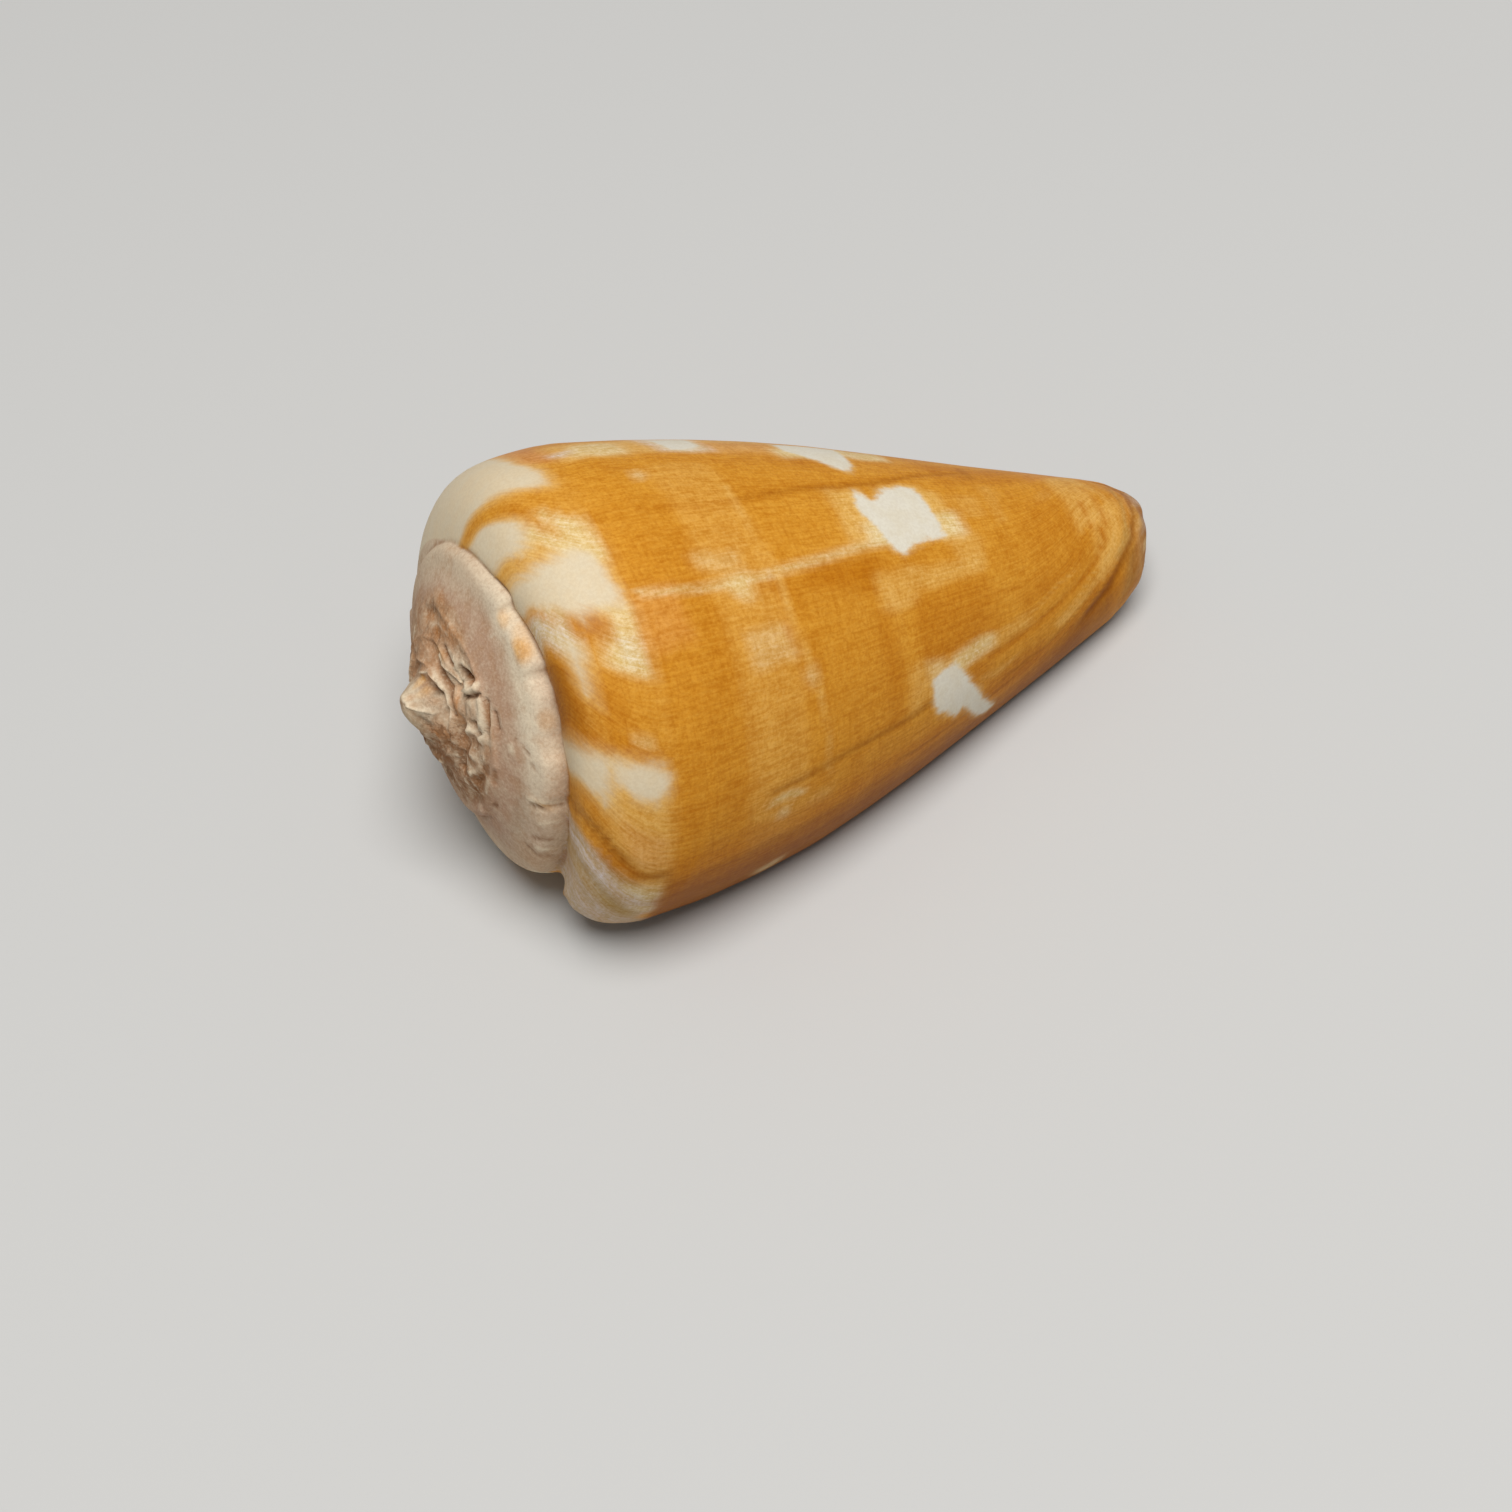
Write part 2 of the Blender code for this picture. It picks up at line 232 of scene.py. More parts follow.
# %% Wavy rim
RIM_SHIFTS = [  # as (angle, hundredths of a mm outwards)
    (50, 0), (61, 10), (72, 4), (80, 16), (95, 10), (102, 30), (107.5, 46), (109.8, -22), (116, -6),
    (124, 12), (131, 6), (134, -38), (137, -30), (141, -22), (147, -44), (155, -66), (160, -60), (164, -30),
    (168, -26), (177, -34), (180, -50), (184, -34), (202, -36), (216, -20), (221, 0),
]
HUNDREDTH = 0.01
RIM_REACH = 0.9  # how far to both sides the push is felt, in mm
SPIRE_END = 7.4  # nothing of the spire lies further along the axis, in mm


def hump(distance, width=1.0):
    """1 in the middle, and next to nothing two widths away."""
    return np.exp(-((distance / width) ** 2))


turned = np.radians(angle)
sine, cosine = np.sin(turned), np.cos(turned)
radial = np.stack([sine * math.sin(AXIS_TILT), cosine, sine * math.cos(AXIS_TILT)], -1)  # away from the axis
spire_side = (along < SPIRE_END) & in_the_open
near_rim = spire_side * hump(beyond_suture, RIM_REACH)
rim_angles, rim_shifts = zip(*RIM_SHIFTS)
rim_shift = np.interp(angle, rim_angles, rim_shifts) * HUNDREDTH
points += radial * (near_rim * rim_shift * MM)[:, None]
print("points moved near the rim:", int((near_rim > 0.05).sum()))

# %% [markdown]
# The rim is also a little swollen, with a fine dark groove where it meets the last whorl. Both run along the
# whole suture, so each is a hump across it, pushed along the normals. At the top of the spire they fade,
# because there the real rim lies almost flush. Outside the groove the whorl's ramp is raised a little.

# %% Swollen rim, groove and ramp
SWELL_HEIGHT, SWELL_WIDTH, SWELL_INWARD = 0.13, 0.32, 0.42  # in mm, with its middle this far inside the suture
GROOVE_DEPTH, GROOVE_WIDTH = 0.14, 0.11
RAMP_FILL, RAMP_REACH = 0.26, 0.85  # how far the ramp is raised, and how wide that is


def smooth(value):
    """A value held between 0 and 1, with soft ends."""
    value = np.clip(value, 0.0, 1.0)
    return value * value * (3.0 - 2.0 * value)


axis_out = -np.array([math.cos(AXIS_TILT), 0.0, -math.sin(AXIS_TILT)])  # from the spire towards the viewer
swell = SWELL_HEIGHT * hump(beyond_suture + SWELL_INWARD, SWELL_WIDTH) * spire_side
swell *= 0.15 + 0.85 * smooth((angle - 85.0) / 45.0)
groove = GROOVE_DEPTH * hump(beyond_suture, GROOVE_WIDTH) * spire_side
groove *= 0.45 + 0.55 * smooth((angle - 90.0) / 30.0)
points += normals * ((swell - groove) * MM)[:, None]
fill = RAMP_FILL * smooth(beyond_suture / 0.25) * hump(beyond_suture, RAMP_REACH) * spire_side
fill *= smooth((turn + 0.50) / 0.20) * smooth((-0.02 - turn) / 0.05)
points += axis_out * (fill * MM)[:, None]
print("swell up to %.2f mm, groove down to %.2f mm" % (swell.max(), groove.max()))

# %% [markdown]
# ## The map of growth
#
# Lines of growth are where the lip once stood. They run from the shoulder to the front end, curving back at
# both ends. A map that is bent the same way gives every point of the side its place in the growth: across is
# the way from the shoulder to the front, and growth is counted in degrees round the axis.

# %% Across and growth
SIDE_SCALE = 40.0  # the side is counted as 40 long, whatever the whorl's size
LIP_RADIUS = 14.05  # the radius that the whorl's spiral reaches at the lip, in mm
EXPANSION = 1.44  # how much wider the whorl gets in one turn
LENGTH = 45.0  # the shell along its axis, in mm
SHOULDER_SHARE = 0.44  # the shoulder's place along the axis, as a share of the whorl's radius
SHOULDER_BEND, FRONT_BEND, TIP_BEND = 9.5, 30.0, 38.0  # where along the axis the lines of growth curve back


def growth_place(along, turn):
    """The place on the pattern's map: 0 to 40 from shoulder to front, and degrees of growth."""
    shoulder = SHOULDER_SHARE * LIP_RADIUS * EXPANSION**turn + 0.45 * np.maximum(0.0, 1.0 + turn / 0.3) ** 2
    across = SIDE_SCALE * (along - shoulder) / (LENGTH - shoulder)
    shoulder_curve = np.where(along < SHOULDER_BEND, (SHOULDER_BEND - along) ** 2, 0.0)
    forward = np.clip((along - FRONT_BEND) / 10.0, 0.0, 0.8)
    front_curve = 35.0 * forward**3 + 6.7 * np.maximum(0.0, along - TIP_BEND)
    return across, LIP_ANGLE + 360.0 * turn + shoulder_curve + front_curve


point_across, point_growth = growth_place(along, turn)
print("across from %.1f to %.1f" % (point_across.min(), point_across.max()))

# %% [markdown]
# ## Rests in growth
#
# Now and then the shell stopped growing for a while and began again. Such a rest leaves a fold or a thin dark
# line along the old edge of the lip. Close to the lip they are real folds, and so they are pressed in where
# the growth is the fold's, with a low swell on both sides, as a crease brush does. Other rests and a few
# spiral lines are drawn as paths on the map; those that can be felt get a shallow groove as well.

# %% Folds near the lip
FOLDS = [  # as growth, width in degrees, depth in mm, and how far along the axis the fold runs
    (191.0, 1.5, 0.17, 9.2),
    (208.5, 1.9, 0.10, 8.6),
    (200.5, 1.2, 0.05, 8.0),
]
BANK_HEIGHT, BANK_PLACE = 0.45, 2.4  # the swell on both sides, as shares of the fold's depth and width
for fold_growth, fold_width, fold_depth, fold_end in FOLDS:
    away = (point_growth - fold_growth) / fold_width
    shape = hump(away) - BANK_HEIGHT * hump(np.abs(away) - BANK_PLACE)
    reach = smooth((fold_end - along) / 2.5) * smooth(beyond_suture / 0.4) * in_the_open
    points -= normals * (fold_depth * shape * reach * MM)[:, None]
print("folds near the lip:", len(FOLDS))

# %% [markdown]
# The thin lines can be followed one by one on the real shell: dark rests in growth that curl round the front
# end, and pale spiral lines that cross them. Noise would scatter them anywhere, so they are drawn as paths.

# %% Thin lines, as half width, groove depth, colour, strength and the path as (across, growth)
THIN_LINES = [
    (0.22, 0.05, "brown", 0.60, [
        (36.6, 108), (37.6, 119), (38.2, 147), (37.8, 171), (37.2, 186), (36.0, 195), (34.7, 202),
        (33.0, 200),
    ]),
    (0.17, 0.04, "dark", 0.80, [
        (34.8, 160), (34.6, 168), (33.8, 172), (32.8, 172), (31.4, 169.5), (29.5, 169), (27.0, 169),
        (24.8, 170),
    ]),
    (0.24, 0.03, "brown", 0.50, [(36.6, 188), (35.6, 196), (34.5, 200), (33.1, 198), (32.2, 199)]),
    (0.15, 0.00, "dark", 0.60, [
        (34.0, 132), (34.2, 149), (33.8, 153), (32.9, 156), (31.3, 155), (29.5, 155), (27.8, 156),
    ]),
    (0.22, 0.00, "pale", 0.55, [(35.6, 120), (36.2, 145), (36.0, 165), (35.2, 178), (34.0, 184), (30.5, 181)]),
    (0.15, 0.00, "dark", 0.50, [(35.0, 122), (35.4, 142), (35.2, 158), (34.6, 168)]),
    (0.18, 0.03, "olive", 0.50, [(37.3, 130), (37.4, 150), (37.0, 168), (36.5, 180), (35.6, 188)]),
    (0.18, 0.00, "cream", 0.58, [
        (4.2, 122), (5.7, 123), (7.4, 124), (9.3, 124.2), (11.1, 124), (13.1, 123), (15.1, 122),
        (17.3, 120.5), (19.3, 119.3),
    ]),
    (0.15, 0.02, "brown", 0.50, [
        (9.2, 176.4), (11.9, 176), (13.8, 175.3), (15.9, 175), (18.2, 175), (20.3, 174),
    ]),
    (0.16, 0.00, "pale", 0.50, [
        (11.5, 96), (11.7, 117), (11.8, 124), (11.9, 132), (12.1, 141), (12.4, 149), (12.8, 161),
        (13.0, 178),
    ]),
    (0.32, 0.00, "dark", 0.42, [(13.0, 100), (15.4, 98), (18.3, 97), (20.8, 95), (24.2, 88)]),
    (0.14, 0.02, "brown", 0.28, [
        (12.0, 100.6), (15.4, 98.4), (18.3, 97.3), (20.8, 95.2), (24.2, 88.4), (27.0, 84),
    ]),
    (0.20, 0.00, "dark", 0.40, [(6.2, 100), (8.7, 102), (11.4, 102), (13.4, 100)]),
    (0.20, 0.03, "dark", 0.45, [(8, -22), (13, -23), (19, -22), (26, -25), (32, -30)]),
    (0.18, 0.00, "pale", 0.50, [(5, -60), (12, -61), (18, -60), (25, -62)]),
    (0.18, 0.03, "brown", 0.40, [(10, -85), (17, -86), (24, -85), (31, -90)]),
    (0.16, 0.00, "pale", 0.40, [(14.5, -125), (14.7, -80), (14.4, -30), (14.6, 25)]),
]
print("thin lines:", len(THIN_LINES))

# %% [markdown]
# How near a point is to a path says how much of the line's colour it takes, and how deep it is pressed in. To
# measure that in millimetres, degrees of growth are turned into a length round the side, which gets narrower
# towards the front.

# %% Press the thin lines in
SIDE_RADIUS, SIDE_TAPER = 12.0, 0.20  # the side's radius at the shoulder, and how much it loses for 1 across


def round_the_side(growth, across):
    """Degrees of growth as millimetres round the side."""
    return growth * math.radians(1.0) * (SIDE_RADIUS - SIDE_TAPER * across)


def distance_to_path(x, y, path):
    """How far each point is from a path of straight pieces."""
    nearest = np.full(len(x), 1e9)
    for (x0, y0), (x1, y1) in zip(path, path[1:]):
        edge_x, edge_y = x1 - x0, y1 - y0
        share = np.clip(((x - x0) * edge_x + (y - y0) * edge_y) / (edge_x**2 + edge_y**2), 0.0, 1.0)
        nearest = np.minimum(nearest, np.hypot(x - x0 - share * edge_x, y - y0 - share * edge_y))
    return nearest


line_covers = []
point_round = round_the_side(point_growth, point_across)
for half_width, depth, _, _, path in THIN_LINES:
    flat_path = [(across, round_the_side(growth, across)) for across, growth in path]
    cover = hump(distance_to_path(point_across, point_round, flat_path), half_width)
    line_covers.append(cover)
    points -= normals * (depth * cover * MM)[:, None]
print("deepest line pressed in by %.2f mm" % max(depth for _, depth, _, _, _ in THIN_LINES))

# %% [markdown]
# The very front end of the shell is the thinnest, and it has been nibbled and knocked a little. A low, soft
# noise moves its points in and out along their normals; it fades out before the side begins.

# %% The front end is a little uneven
TIP_BUMP_HEIGHT, TIP_BUMP_SIZE = 0.13, 1.3  # in mm
TIP_START, TIP_FADE = 40.0, 2.5  # the bumps begin this far along the axis, and are full this much further on
for index in np.flatnonzero(along > TIP_START):
    full = float(smooth((along[index] - TIP_START) / TIP_FADE))
    bump_height = noise.noise(Vector(points[index]) / (TIP_BUMP_SIZE * MM)) * TIP_BUMP_HEIGHT * full
    points[index] += normals[index] * bump_height * MM
print("front end roughened from %.0f mm on" % TIP_START)

# %% [markdown]
# Outside the groove the whorl's ramp is even on the real shell. The cage has few rows there, and rounding
# them left a shallow channel. A smooth brush levels it: each point moves towards the middle of its
# neighbours, a few times over.

# %% Smooth the ramp
SMOOTH_ROUNDS, SMOOTH_STRENGTH = 14, 0.5
RAMP_START, RAMP_END = 0.10, 2.0  # the ramp runs from here to here outside the suture, in mm
ramp = spire_side * smooth((beyond_suture - RAMP_START) / 0.15) * smooth((RAMP_END - beyond_suture) / 0.8)
ramp = ramp * (turn > -0.75)
pairs = np.empty(len(mesh.edges) * 2, np.int32)
mesh.edges.foreach_get("vertices", pairs)
pairs = pairs.reshape(-1, 2)
neighbours = np.bincount(pairs.ravel(), minlength=count)


def neighbour_mean(values):
    """For each point, the mean of a value over the points that an edge joins it to."""
    total = np.bincount(pairs[:, 0], values[pairs[:, 1]], count)
    total += np.bincount(pairs[:, 1], values[pairs[:, 0]], count)
    return total / neighbours


for _ in range(SMOOTH_ROUNDS):
    means = np.stack([neighbour_mean(points[:, column]) for column in range(3)], -1)
    points += (SMOOTH_STRENGTH * ramp)[:, None] * (means - points)
print("points smoothed:", int((ramp > 0.0).sum()))

# %% [markdown]
# ## The worn spire
#
# Sand and water have broken the top of the spire into small pits, ledges and crests round a pale, pointed
# nipple. Noise would give pits of the right size, but not these ones. So each form that can be told apart is
# pressed in or pulled out one by one: a path of points as seen along the axis, how wide it is and how high.

# %% Crests and pits, each as height, half width, and its path as (angle, radius)
SPIRE_FORMS = [
    (-0.55, 0.26, [(119, 4.35), (123, 4.60)]),
    (-0.25, 0.22, [(125, 4.75), (128, 4.95)]),
    (-0.60, 0.20, [(155, 4.62), (159, 4.72)]),
    (0.32, 0.22, [(166, 3.75), (160, 4.05)]),
    (0.30, 0.16, [(92, 3.35), (108, 3.50), (124, 3.75)]),
    (-0.22, 0.14, [(94, 3.90), (110, 3.95)]),
    (0.26, 0.13, [(131, 3.90), (132, 4.65), (132, 5.40)]),
    (-0.24, 0.12, [(136, 3.95), (137, 4.70), (136, 5.35)]),
    (0.24, 0.14, [(130, 5.45), (145, 5.20), (156, 5.00), (165, 4.85)]),
    (-0.22, 0.13, [(140, 5.60), (152, 5.50), (160, 5.30)]),
    (-0.16, 0.13, [(146, 5.95), (154, 6.00)]),
    (-0.30, 0.20, [(116, 2.10), (122, 2.20)]),
    (0.22, 0.15, [(137, 0.75), (146, 1.30), (150, 1.85)]),
    (-0.10, 0.20, [(172, 1.20), (178, 1.50)]),
    (0.20, 0.15, [(75, 1.90), (95, 2.45), (115, 2.70), (140, 2.75)]),
    (-0.25, 0.18, [(96, 2.95), (125, 3.05), (150, 3.00)]),
    (-0.13, 0.22, [(178, 2.60), (200, 2.70)]),
    (0.11, 0.20, [(182, 4.10), (184, 4.30)]),
    (0.08, 0.20, [(178, 4.85), (183, 4.95)]),
    (-0.16, 0.20, [(190, 3.45), (205, 3.70)]),
    (-0.14, 0.20, [(192, 5.00), (200, 4.80)]),
    (0.10, 0.18, [(194, 4.45), (199, 4.30)]),
    (-0.12, 0.18, [(209, 4.50), (214, 5.30)]),
    (-0.11, 0.15, [(180, 5.75), (187, 5.80)]),
    (0.09, 0.20, [(190, 5.50), (200, 5.60)]),
    (-0.08, 0.10, [(204, 6.15), (207, 6.20)]),
    (0.10, 0.25, [(161, 6.80), (164, 6.85)]),
    (-0.09, 0.08, [(159, 7.55), (162, 7.95), (166, 8.08), (170, 7.98)]),
    (-0.06, 0.10, [(156, 7.05), (157, 7.10)]),
    (0.13, 0.16, [(181, 8.00), (180, 8.60), (179, 9.10)]),
    (-0.14, 0.13, [(183, 8.20), (182, 8.75), (181, 9.20)]),
    (0.09, 0.20, [(190, 8.80), (188, 9.15)]),
    (-0.10, 0.14, [(200, 8.70), (197, 9.30)]),
    (0.10, 0.22, [(204, 9.10), (203, 9.45)]),
    (-0.10, 0.14, [(209, 8.60), (208, 9.50)]),
    (-0.10, 0.25, [(52, 4.60), (60, 5.00)]),
    (-0.10, 0.22, [(70, 3.70), (82, 3.95)]),
    (0.07, 0.25, [(62, 4.10), (78, 4.50), (92, 4.70)]),
    (-0.30, 0.25, [(255, 3.90), (270, 4.10)]),
    (0.20, 0.20, [(240, 3.20), (262, 3.35)]),
    (-0.30, 0.25, [(310, 3.30), (330, 3.10)]),
    (0.20, 0.18, [(290, 4.40), (320, 4.60)]),
    (-0.25, 0.22, [(10, 3.60), (28, 4.00)]),
    (0.18, 0.18, [(345, 2.60), (20, 2.70)]),
]
print("crests and pits:", len(SPIRE_FORMS))

# %% [markdown]
# Crests and pits don't have the same profile. A crest is keen, while a pit has steep walls and a flat floor,
# so the hump across each path gets its own sharpness. The heights are only added up here: they are pressed
# in later, all at once, so that one form doesn't shift the next.

# %% Add the crests and pits up
CREST_SHARPNESS, PIT_SHARPNESS = 1.3, 3.0


def from_above(place_angle, place_radius):
    """A place on the spire as seen along the axis."""
    return place_radius * np.cos(np.radians(place_angle)), place_radius * np.sin(np.radians(place_angle))


flat_x, flat_y = from_above(angle, radius)
relief = np.zeros(count)
for height, half_width, path in SPIRE_FORMS:
    corners = [from_above(*corner) for corner in path]
    sharpness = CREST_SHARPNESS if height > 0.0 else PIT_SHARPNESS
    relief += height * np.exp(-((distance_to_path(flat_x, flat_y, corners) / half_width) ** sharpness))
print("crests and pits from %.2f to %.2f mm" % (relief.min(), relief.max()))

# %% [markdown]
# Between them the surface is broken into little tilted facets, each with its own height, as worn lime
# breaks. A texture could make such cells, but they would not lie along the whorl or end before the rim. So
# centres are scattered over the spire, and each point takes the height and slope of the nearest one, with a
# soft step to the second nearest. The seed is fixed, so they come out the same every time.

# %% Scatter the facets
FACETS = 230
FACET_STEP = 0.08  # how high or low a facet may lie, in mm
FACET_STRETCH = 2.0  # facets are longer along the whorl, as the old growth lines guide the breaks
WORN_OUT = 5.9  # the facets end at about this radius
chance = np.random.default_rng(11)
facet_radius = WORN_OUT * np.sqrt(chance.uniform(0.03, 1.1, FACETS))
facet_angle = chance.uniform(0.0, 360.0, FACETS)
facet_height = chance.uniform(-1.0, 1.0, FACETS)
facet_slope = chance.uniform(-1.1, 1.1, (FACETS, 2))
worn_points = np.flatnonzero(spire_side & (radius < WORN_OUT + 1.2))
worn_radius, worn_angle = radius[worn_points], angle[worn_points]
gap_out = worn_radius[:, None] - facet_radius
gap_round = (worn_angle[:, None] - facet_angle + 180.0) % 360.0 - 180.0
gap_round = gap_round * math.radians(1.0) * worn_radius[:, None] / FACET_STRETCH
print("facets: %d, points on them: %d" % (FACETS, len(worn_points)))

# %% [markdown]
# The facets lose height towards the rim and at the nipple. The upper left quarter of the spire is more even
# on the real shell, so hardly any are left there.

# %% Add the facets
FACET_EDGE = 0.13  # how wide the break between two facets is
gaps = np.hypot(gap_out, gap_round)
order = np.argsort(gaps, axis=1)[:, :2]
rows = np.arange(len(worn_points))
levels = []
for place in (0, 1):
    chosen = order[:, place]
    slope = facet_slope[chosen, 0] * gap_out[rows, chosen] + facet_slope[chosen, 1] * gap_round[rows, chosen]
    levels.append(facet_height[chosen] + slope)
edge_gap = gaps[rows, order[:, 1]] - gaps[rows, order[:, 0]]
share = 0.5 + 0.5 * smooth(edge_gap / FACET_EDGE)
broken = share * levels[0] + (1.0 - share) * levels[1]
fade = smooth((WORN_OUT - worn_radius) / 1.4) * (0.35 + 0.65 * smooth((worn_radius - 1.2) / 0.8))
even_patch = smooth((102.0 - worn_angle) / 14.0) * smooth((worn_radius - 2.9) / 0.5)
relief[worn_points] += FACET_STEP * broken * fade * (1.0 - 0.8 * even_patch)
print("steps between facets up to %.2f mm" % (FACET_STEP * np.abs(broken * fade).max()))

# %% [markdown]
# The nipple is the oldest spot of the shell. Its point is taken down a little, so that it ends rounded, and
# it is drawn upward. Then the whole relief of the spire is pressed in or pulled out, along the axis.

# %% Round the nipple off and press the relief in
NIPPLE_BLUNTED, BLUNT_REACH = 0.30, 0.42  # how far its point is taken down, and how wide that is, in mm
NIPPLE_LIFT, LIFT_REACH = 0.60, 0.8  # how far it is drawn upward, and how wide that is, in mm
relief *= spire_side * smooth((radius - 0.25) / 0.5)
relief -= NIPPLE_BLUNTED * spire_side * hump(radius, BLUNT_REACH)
points += axis_out * (relief * MM)[:, None]
lift = NIPPLE_LIFT * spire_side * hump(radius, LIFT_REACH)
points[:, 2] += lift * MM
print("spire relief from %.2f to %.2f mm" % (relief.min(), relief.max()))

# %% [markdown]
# All the pushing is over, so the points go back into the mesh. The shell lies on the table, and rounding or
# pushing may have moved its lowest points a hair too low. They are lifted to the table again.

# %% Write the moved points back
points[:, 2] = np.maximum(points[:, 2], 0.0)  # nothing sinks into the table
mesh.vertices.foreach_set("co", points.ravel())
mesh.update()
print("highest point %.2f mm above the table" % (points[:, 2].max() / MM))

# %% [markdown]
# ## The map for the material
#
# The material needs the same map for its finest lines, so it is stored as a UV map: across to the right and
# growth upward. A face that lies on the border, where the last turn begins, must not reach over the whole
# map. So each corner of a face takes the turn that fits the middle of its face.

# %% The growth map
corner_points = np.empty(len(mesh.loops), np.int32)
mesh.loops.foreach_get("vertex_index", corner_points)
face_sizes = np.empty(len(mesh.polygons), np.int32)
mesh.polygons.foreach_get("loop_total", face_sizes)
centres = np.empty(len(mesh.polygons) * 3)
mesh.polygons.foreach_get("center", centres)
_, _, centre_angle = shell_place(centres.reshape(-1, 3))
centre_turn = turns_to_lip(centre_angle)
face_of_corner = np.repeat(np.arange(len(mesh.polygons)), face_sizes)
corner_turn = turn[corner_points]
corner_turn += np.round(centre_turn[face_of_corner] - corner_turn)
across, growth = growth_place(along[corner_points], corner_turn)
for name in [layer.name for layer in mesh.uv_layers]:
    mesh.uv_layers.remove(mesh.uv_layers[name])
growth_map = mesh.uv_layers.new(name="growth")
growth_map.data.foreach_set("uv", np.stack([across / SIDE_SCALE, growth / 360.0], -1).ravel())
print("growth from %.0f to %.0f degrees" % (growth.min(), growth.max()))

# %% [markdown]
# ## White marks
#
# The living animal laid down colour as the shell grew, and left it out in ragged patches. They could be
# built in the material, one node for each, but a hand would simply paint them. So each patch is outlined
# here on the growth map. The far side repeats the same kinds of patches.

# %% Outlines of the white marks, as (across, growth)
WHITE_MARKS = [
    [
        (-2, 30), (-2, 98), (-0.8, 96.2), (0, 93.6), (0.9, 90.6), (1.6, 89.2), (2.2, 88.3), (2.7, 86.4),
        (2.9, 82), (2.7, 77), (2.3, 73), (2.3, 50), (2, 30),
    ],
    [(-1.2, 105), (0.6, 104.5), (0.4, 112), (-0.1, 118), (-1.2, 121)],
    [
        (-1.2, 130), (-0.5, 127), (0.3, 120.6), (1.4, 114), (2.2, 110.6), (2.8, 110.8), (3.0, 116),
        (3.2, 121), (3.3, 124.2), (2.2, 125.6), (1.45, 128.4), (1.0, 132.4), (0.5, 131.8), (-0.3, 134.6),
        (-1.2, 135),
    ],
    [
        (0.14, 142.6), (0.28, 141), (0.54, 141), (0.56, 144), (0.50, 148.5), (0.40, 153), (0.31, 149),
        (0.21, 146),
    ],
    [
        (-1.0, 176), (-0.35, 171), (0.3, 167.2), (0.65, 166.4), (0.62, 170.5), (0.50, 174.5), (0.2, 180.5),
        (-0.25, 179.6), (-1.0, 182),
    ],
    [
        (0.72, 166.4), (1.2, 164), (1.9, 162), (3.05, 160.4), (3.4, 163.6), (3.15, 167), (2.45, 170.2),
        (1.6, 170.8), (0.95, 169.4),
    ],
    [(10.2, 62), (12.3, 62), (12.3, 73), (11.3, 76), (10.4, 75)],
    [(16.9, 66), (20.6, 66), (20.2, 84), (19.7, 89), (19.4, 89), (19, 87), (18.2, 82), (16.9, 75)],
    [
        (18.9, 99.5), (19.3, 101), (19.6, 104.5), (20.1, 103), (20.6, 99.5), (22.3, 97), (22.9, 98), (23.1, 102),
        (23.2, 108), (23.3, 113), (23.4, 120), (22.9, 121), (22, 120.8), (21, 122.3), (20.1, 124.5), (19.6, 122.5),
        (19.3, 119), (19.1, 114), (18.6, 110), (18.5, 106),
    ],
    [
        (20.3, 166), (21, 164.5), (22, 164.5), (22.4, 167), (22.8, 171), (23.1, 174), (23.8, 180), (24.4, 187),
        (25, 192), (25.8, 199), (25.2, 201), (24, 194), (23.2, 187), (22.7, 183.5), (22.5, 187), (22.2, 185.5),
        (21.5, 182), (20.8, 180), (20.4, 175),
    ],
    [(-2, -125), (2.5, -122), (2.8, -112), (1.8, -101), (0.5, -104), (-2, -98)],
    [(-2, -82), (0.8, -84), (2.9, -88), (3.1, -74), (1.6, -70), (1.2, -60), (-2, -57)],
    [(-2, -40), (1, -42), (2.6, -46), (3.0, -33), (1.8, -25), (2.4, -14), (0.8, -8), (-2, -10)],
    [(-2, 8), (1.2, 4), (2.7, 1), (2.9, 14), (1.9, 22), (2.2, 30), (-2, 32)],
    [
        (17.4, -112), (18.3, -115), (19.2, -113.5), (19.8, -117), (21.6, -115.5), (22.4, -111), (21.9, -106),
        (22.5, -101), (21.4, -97), (20.6, -99.5), (19.6, -96.5), (18.9, -100), (18.3, -103), (17.8, -108),
    ],
    [
        (18.6, -66), (19.4, -68.5), (20.3, -66.5), (21.3, -69), (22.0, -63), (22.9, -57), (22.5, -49),
        (21.8, -41), (21.2, -44), (20.9, -50), (20.0, -51), (19.5, -56), (18.9, -59),
    ],
    [
        (17.8, -15), (18.9, -18), (19.6, -16), (20.4, -20), (22.6, -15), (22.3, -8), (22.9, -3), (21.7, -1),
        (21.2, 3.5), (20.2, 5.5), (19.8, 0), (18.9, -2), (18.2, -8),
    ],
    [
        (18.9, 31), (20.1, 27), (20.9, 29), (21.7, 26), (22.9, 32), (22.3, 37), (22.8, 43), (21.5, 42),
        (20.8, 47.5), (20.0, 44), (19.4, 40),
    ],
    [
        (10.4, -91.5), (11.2, -94), (12.4, -93), (12.9, -88.5), (12.2, -84.5), (11.5, -85.5), (10.9, -82),
        (10.3, -86),
    ],
    [(9.7, 5), (10.6, 1.5), (11.6, 2.5), (12.5, -0.5), (12.6, 7), (11.9, 12.5), (11.3, 10.5), (10.5, 13.5)],
]
print("white marks:", len(WHITE_MARKS))

# %% [markdown]
# Each point keeps how deep it is inside a patch or how far outside, in millimetres. A plain yes or no would
# give stairs along the edge of the faces. The material turns the distance into a ragged edge later.

# %% How deep each point is in a white mark
MARK_TAPER, LEAST_RADIUS = 0.18, 4.0  # how the side narrows under a mark, and the least radius it is given
DEEPEST = 2.0  # more than this, in mm, makes no difference


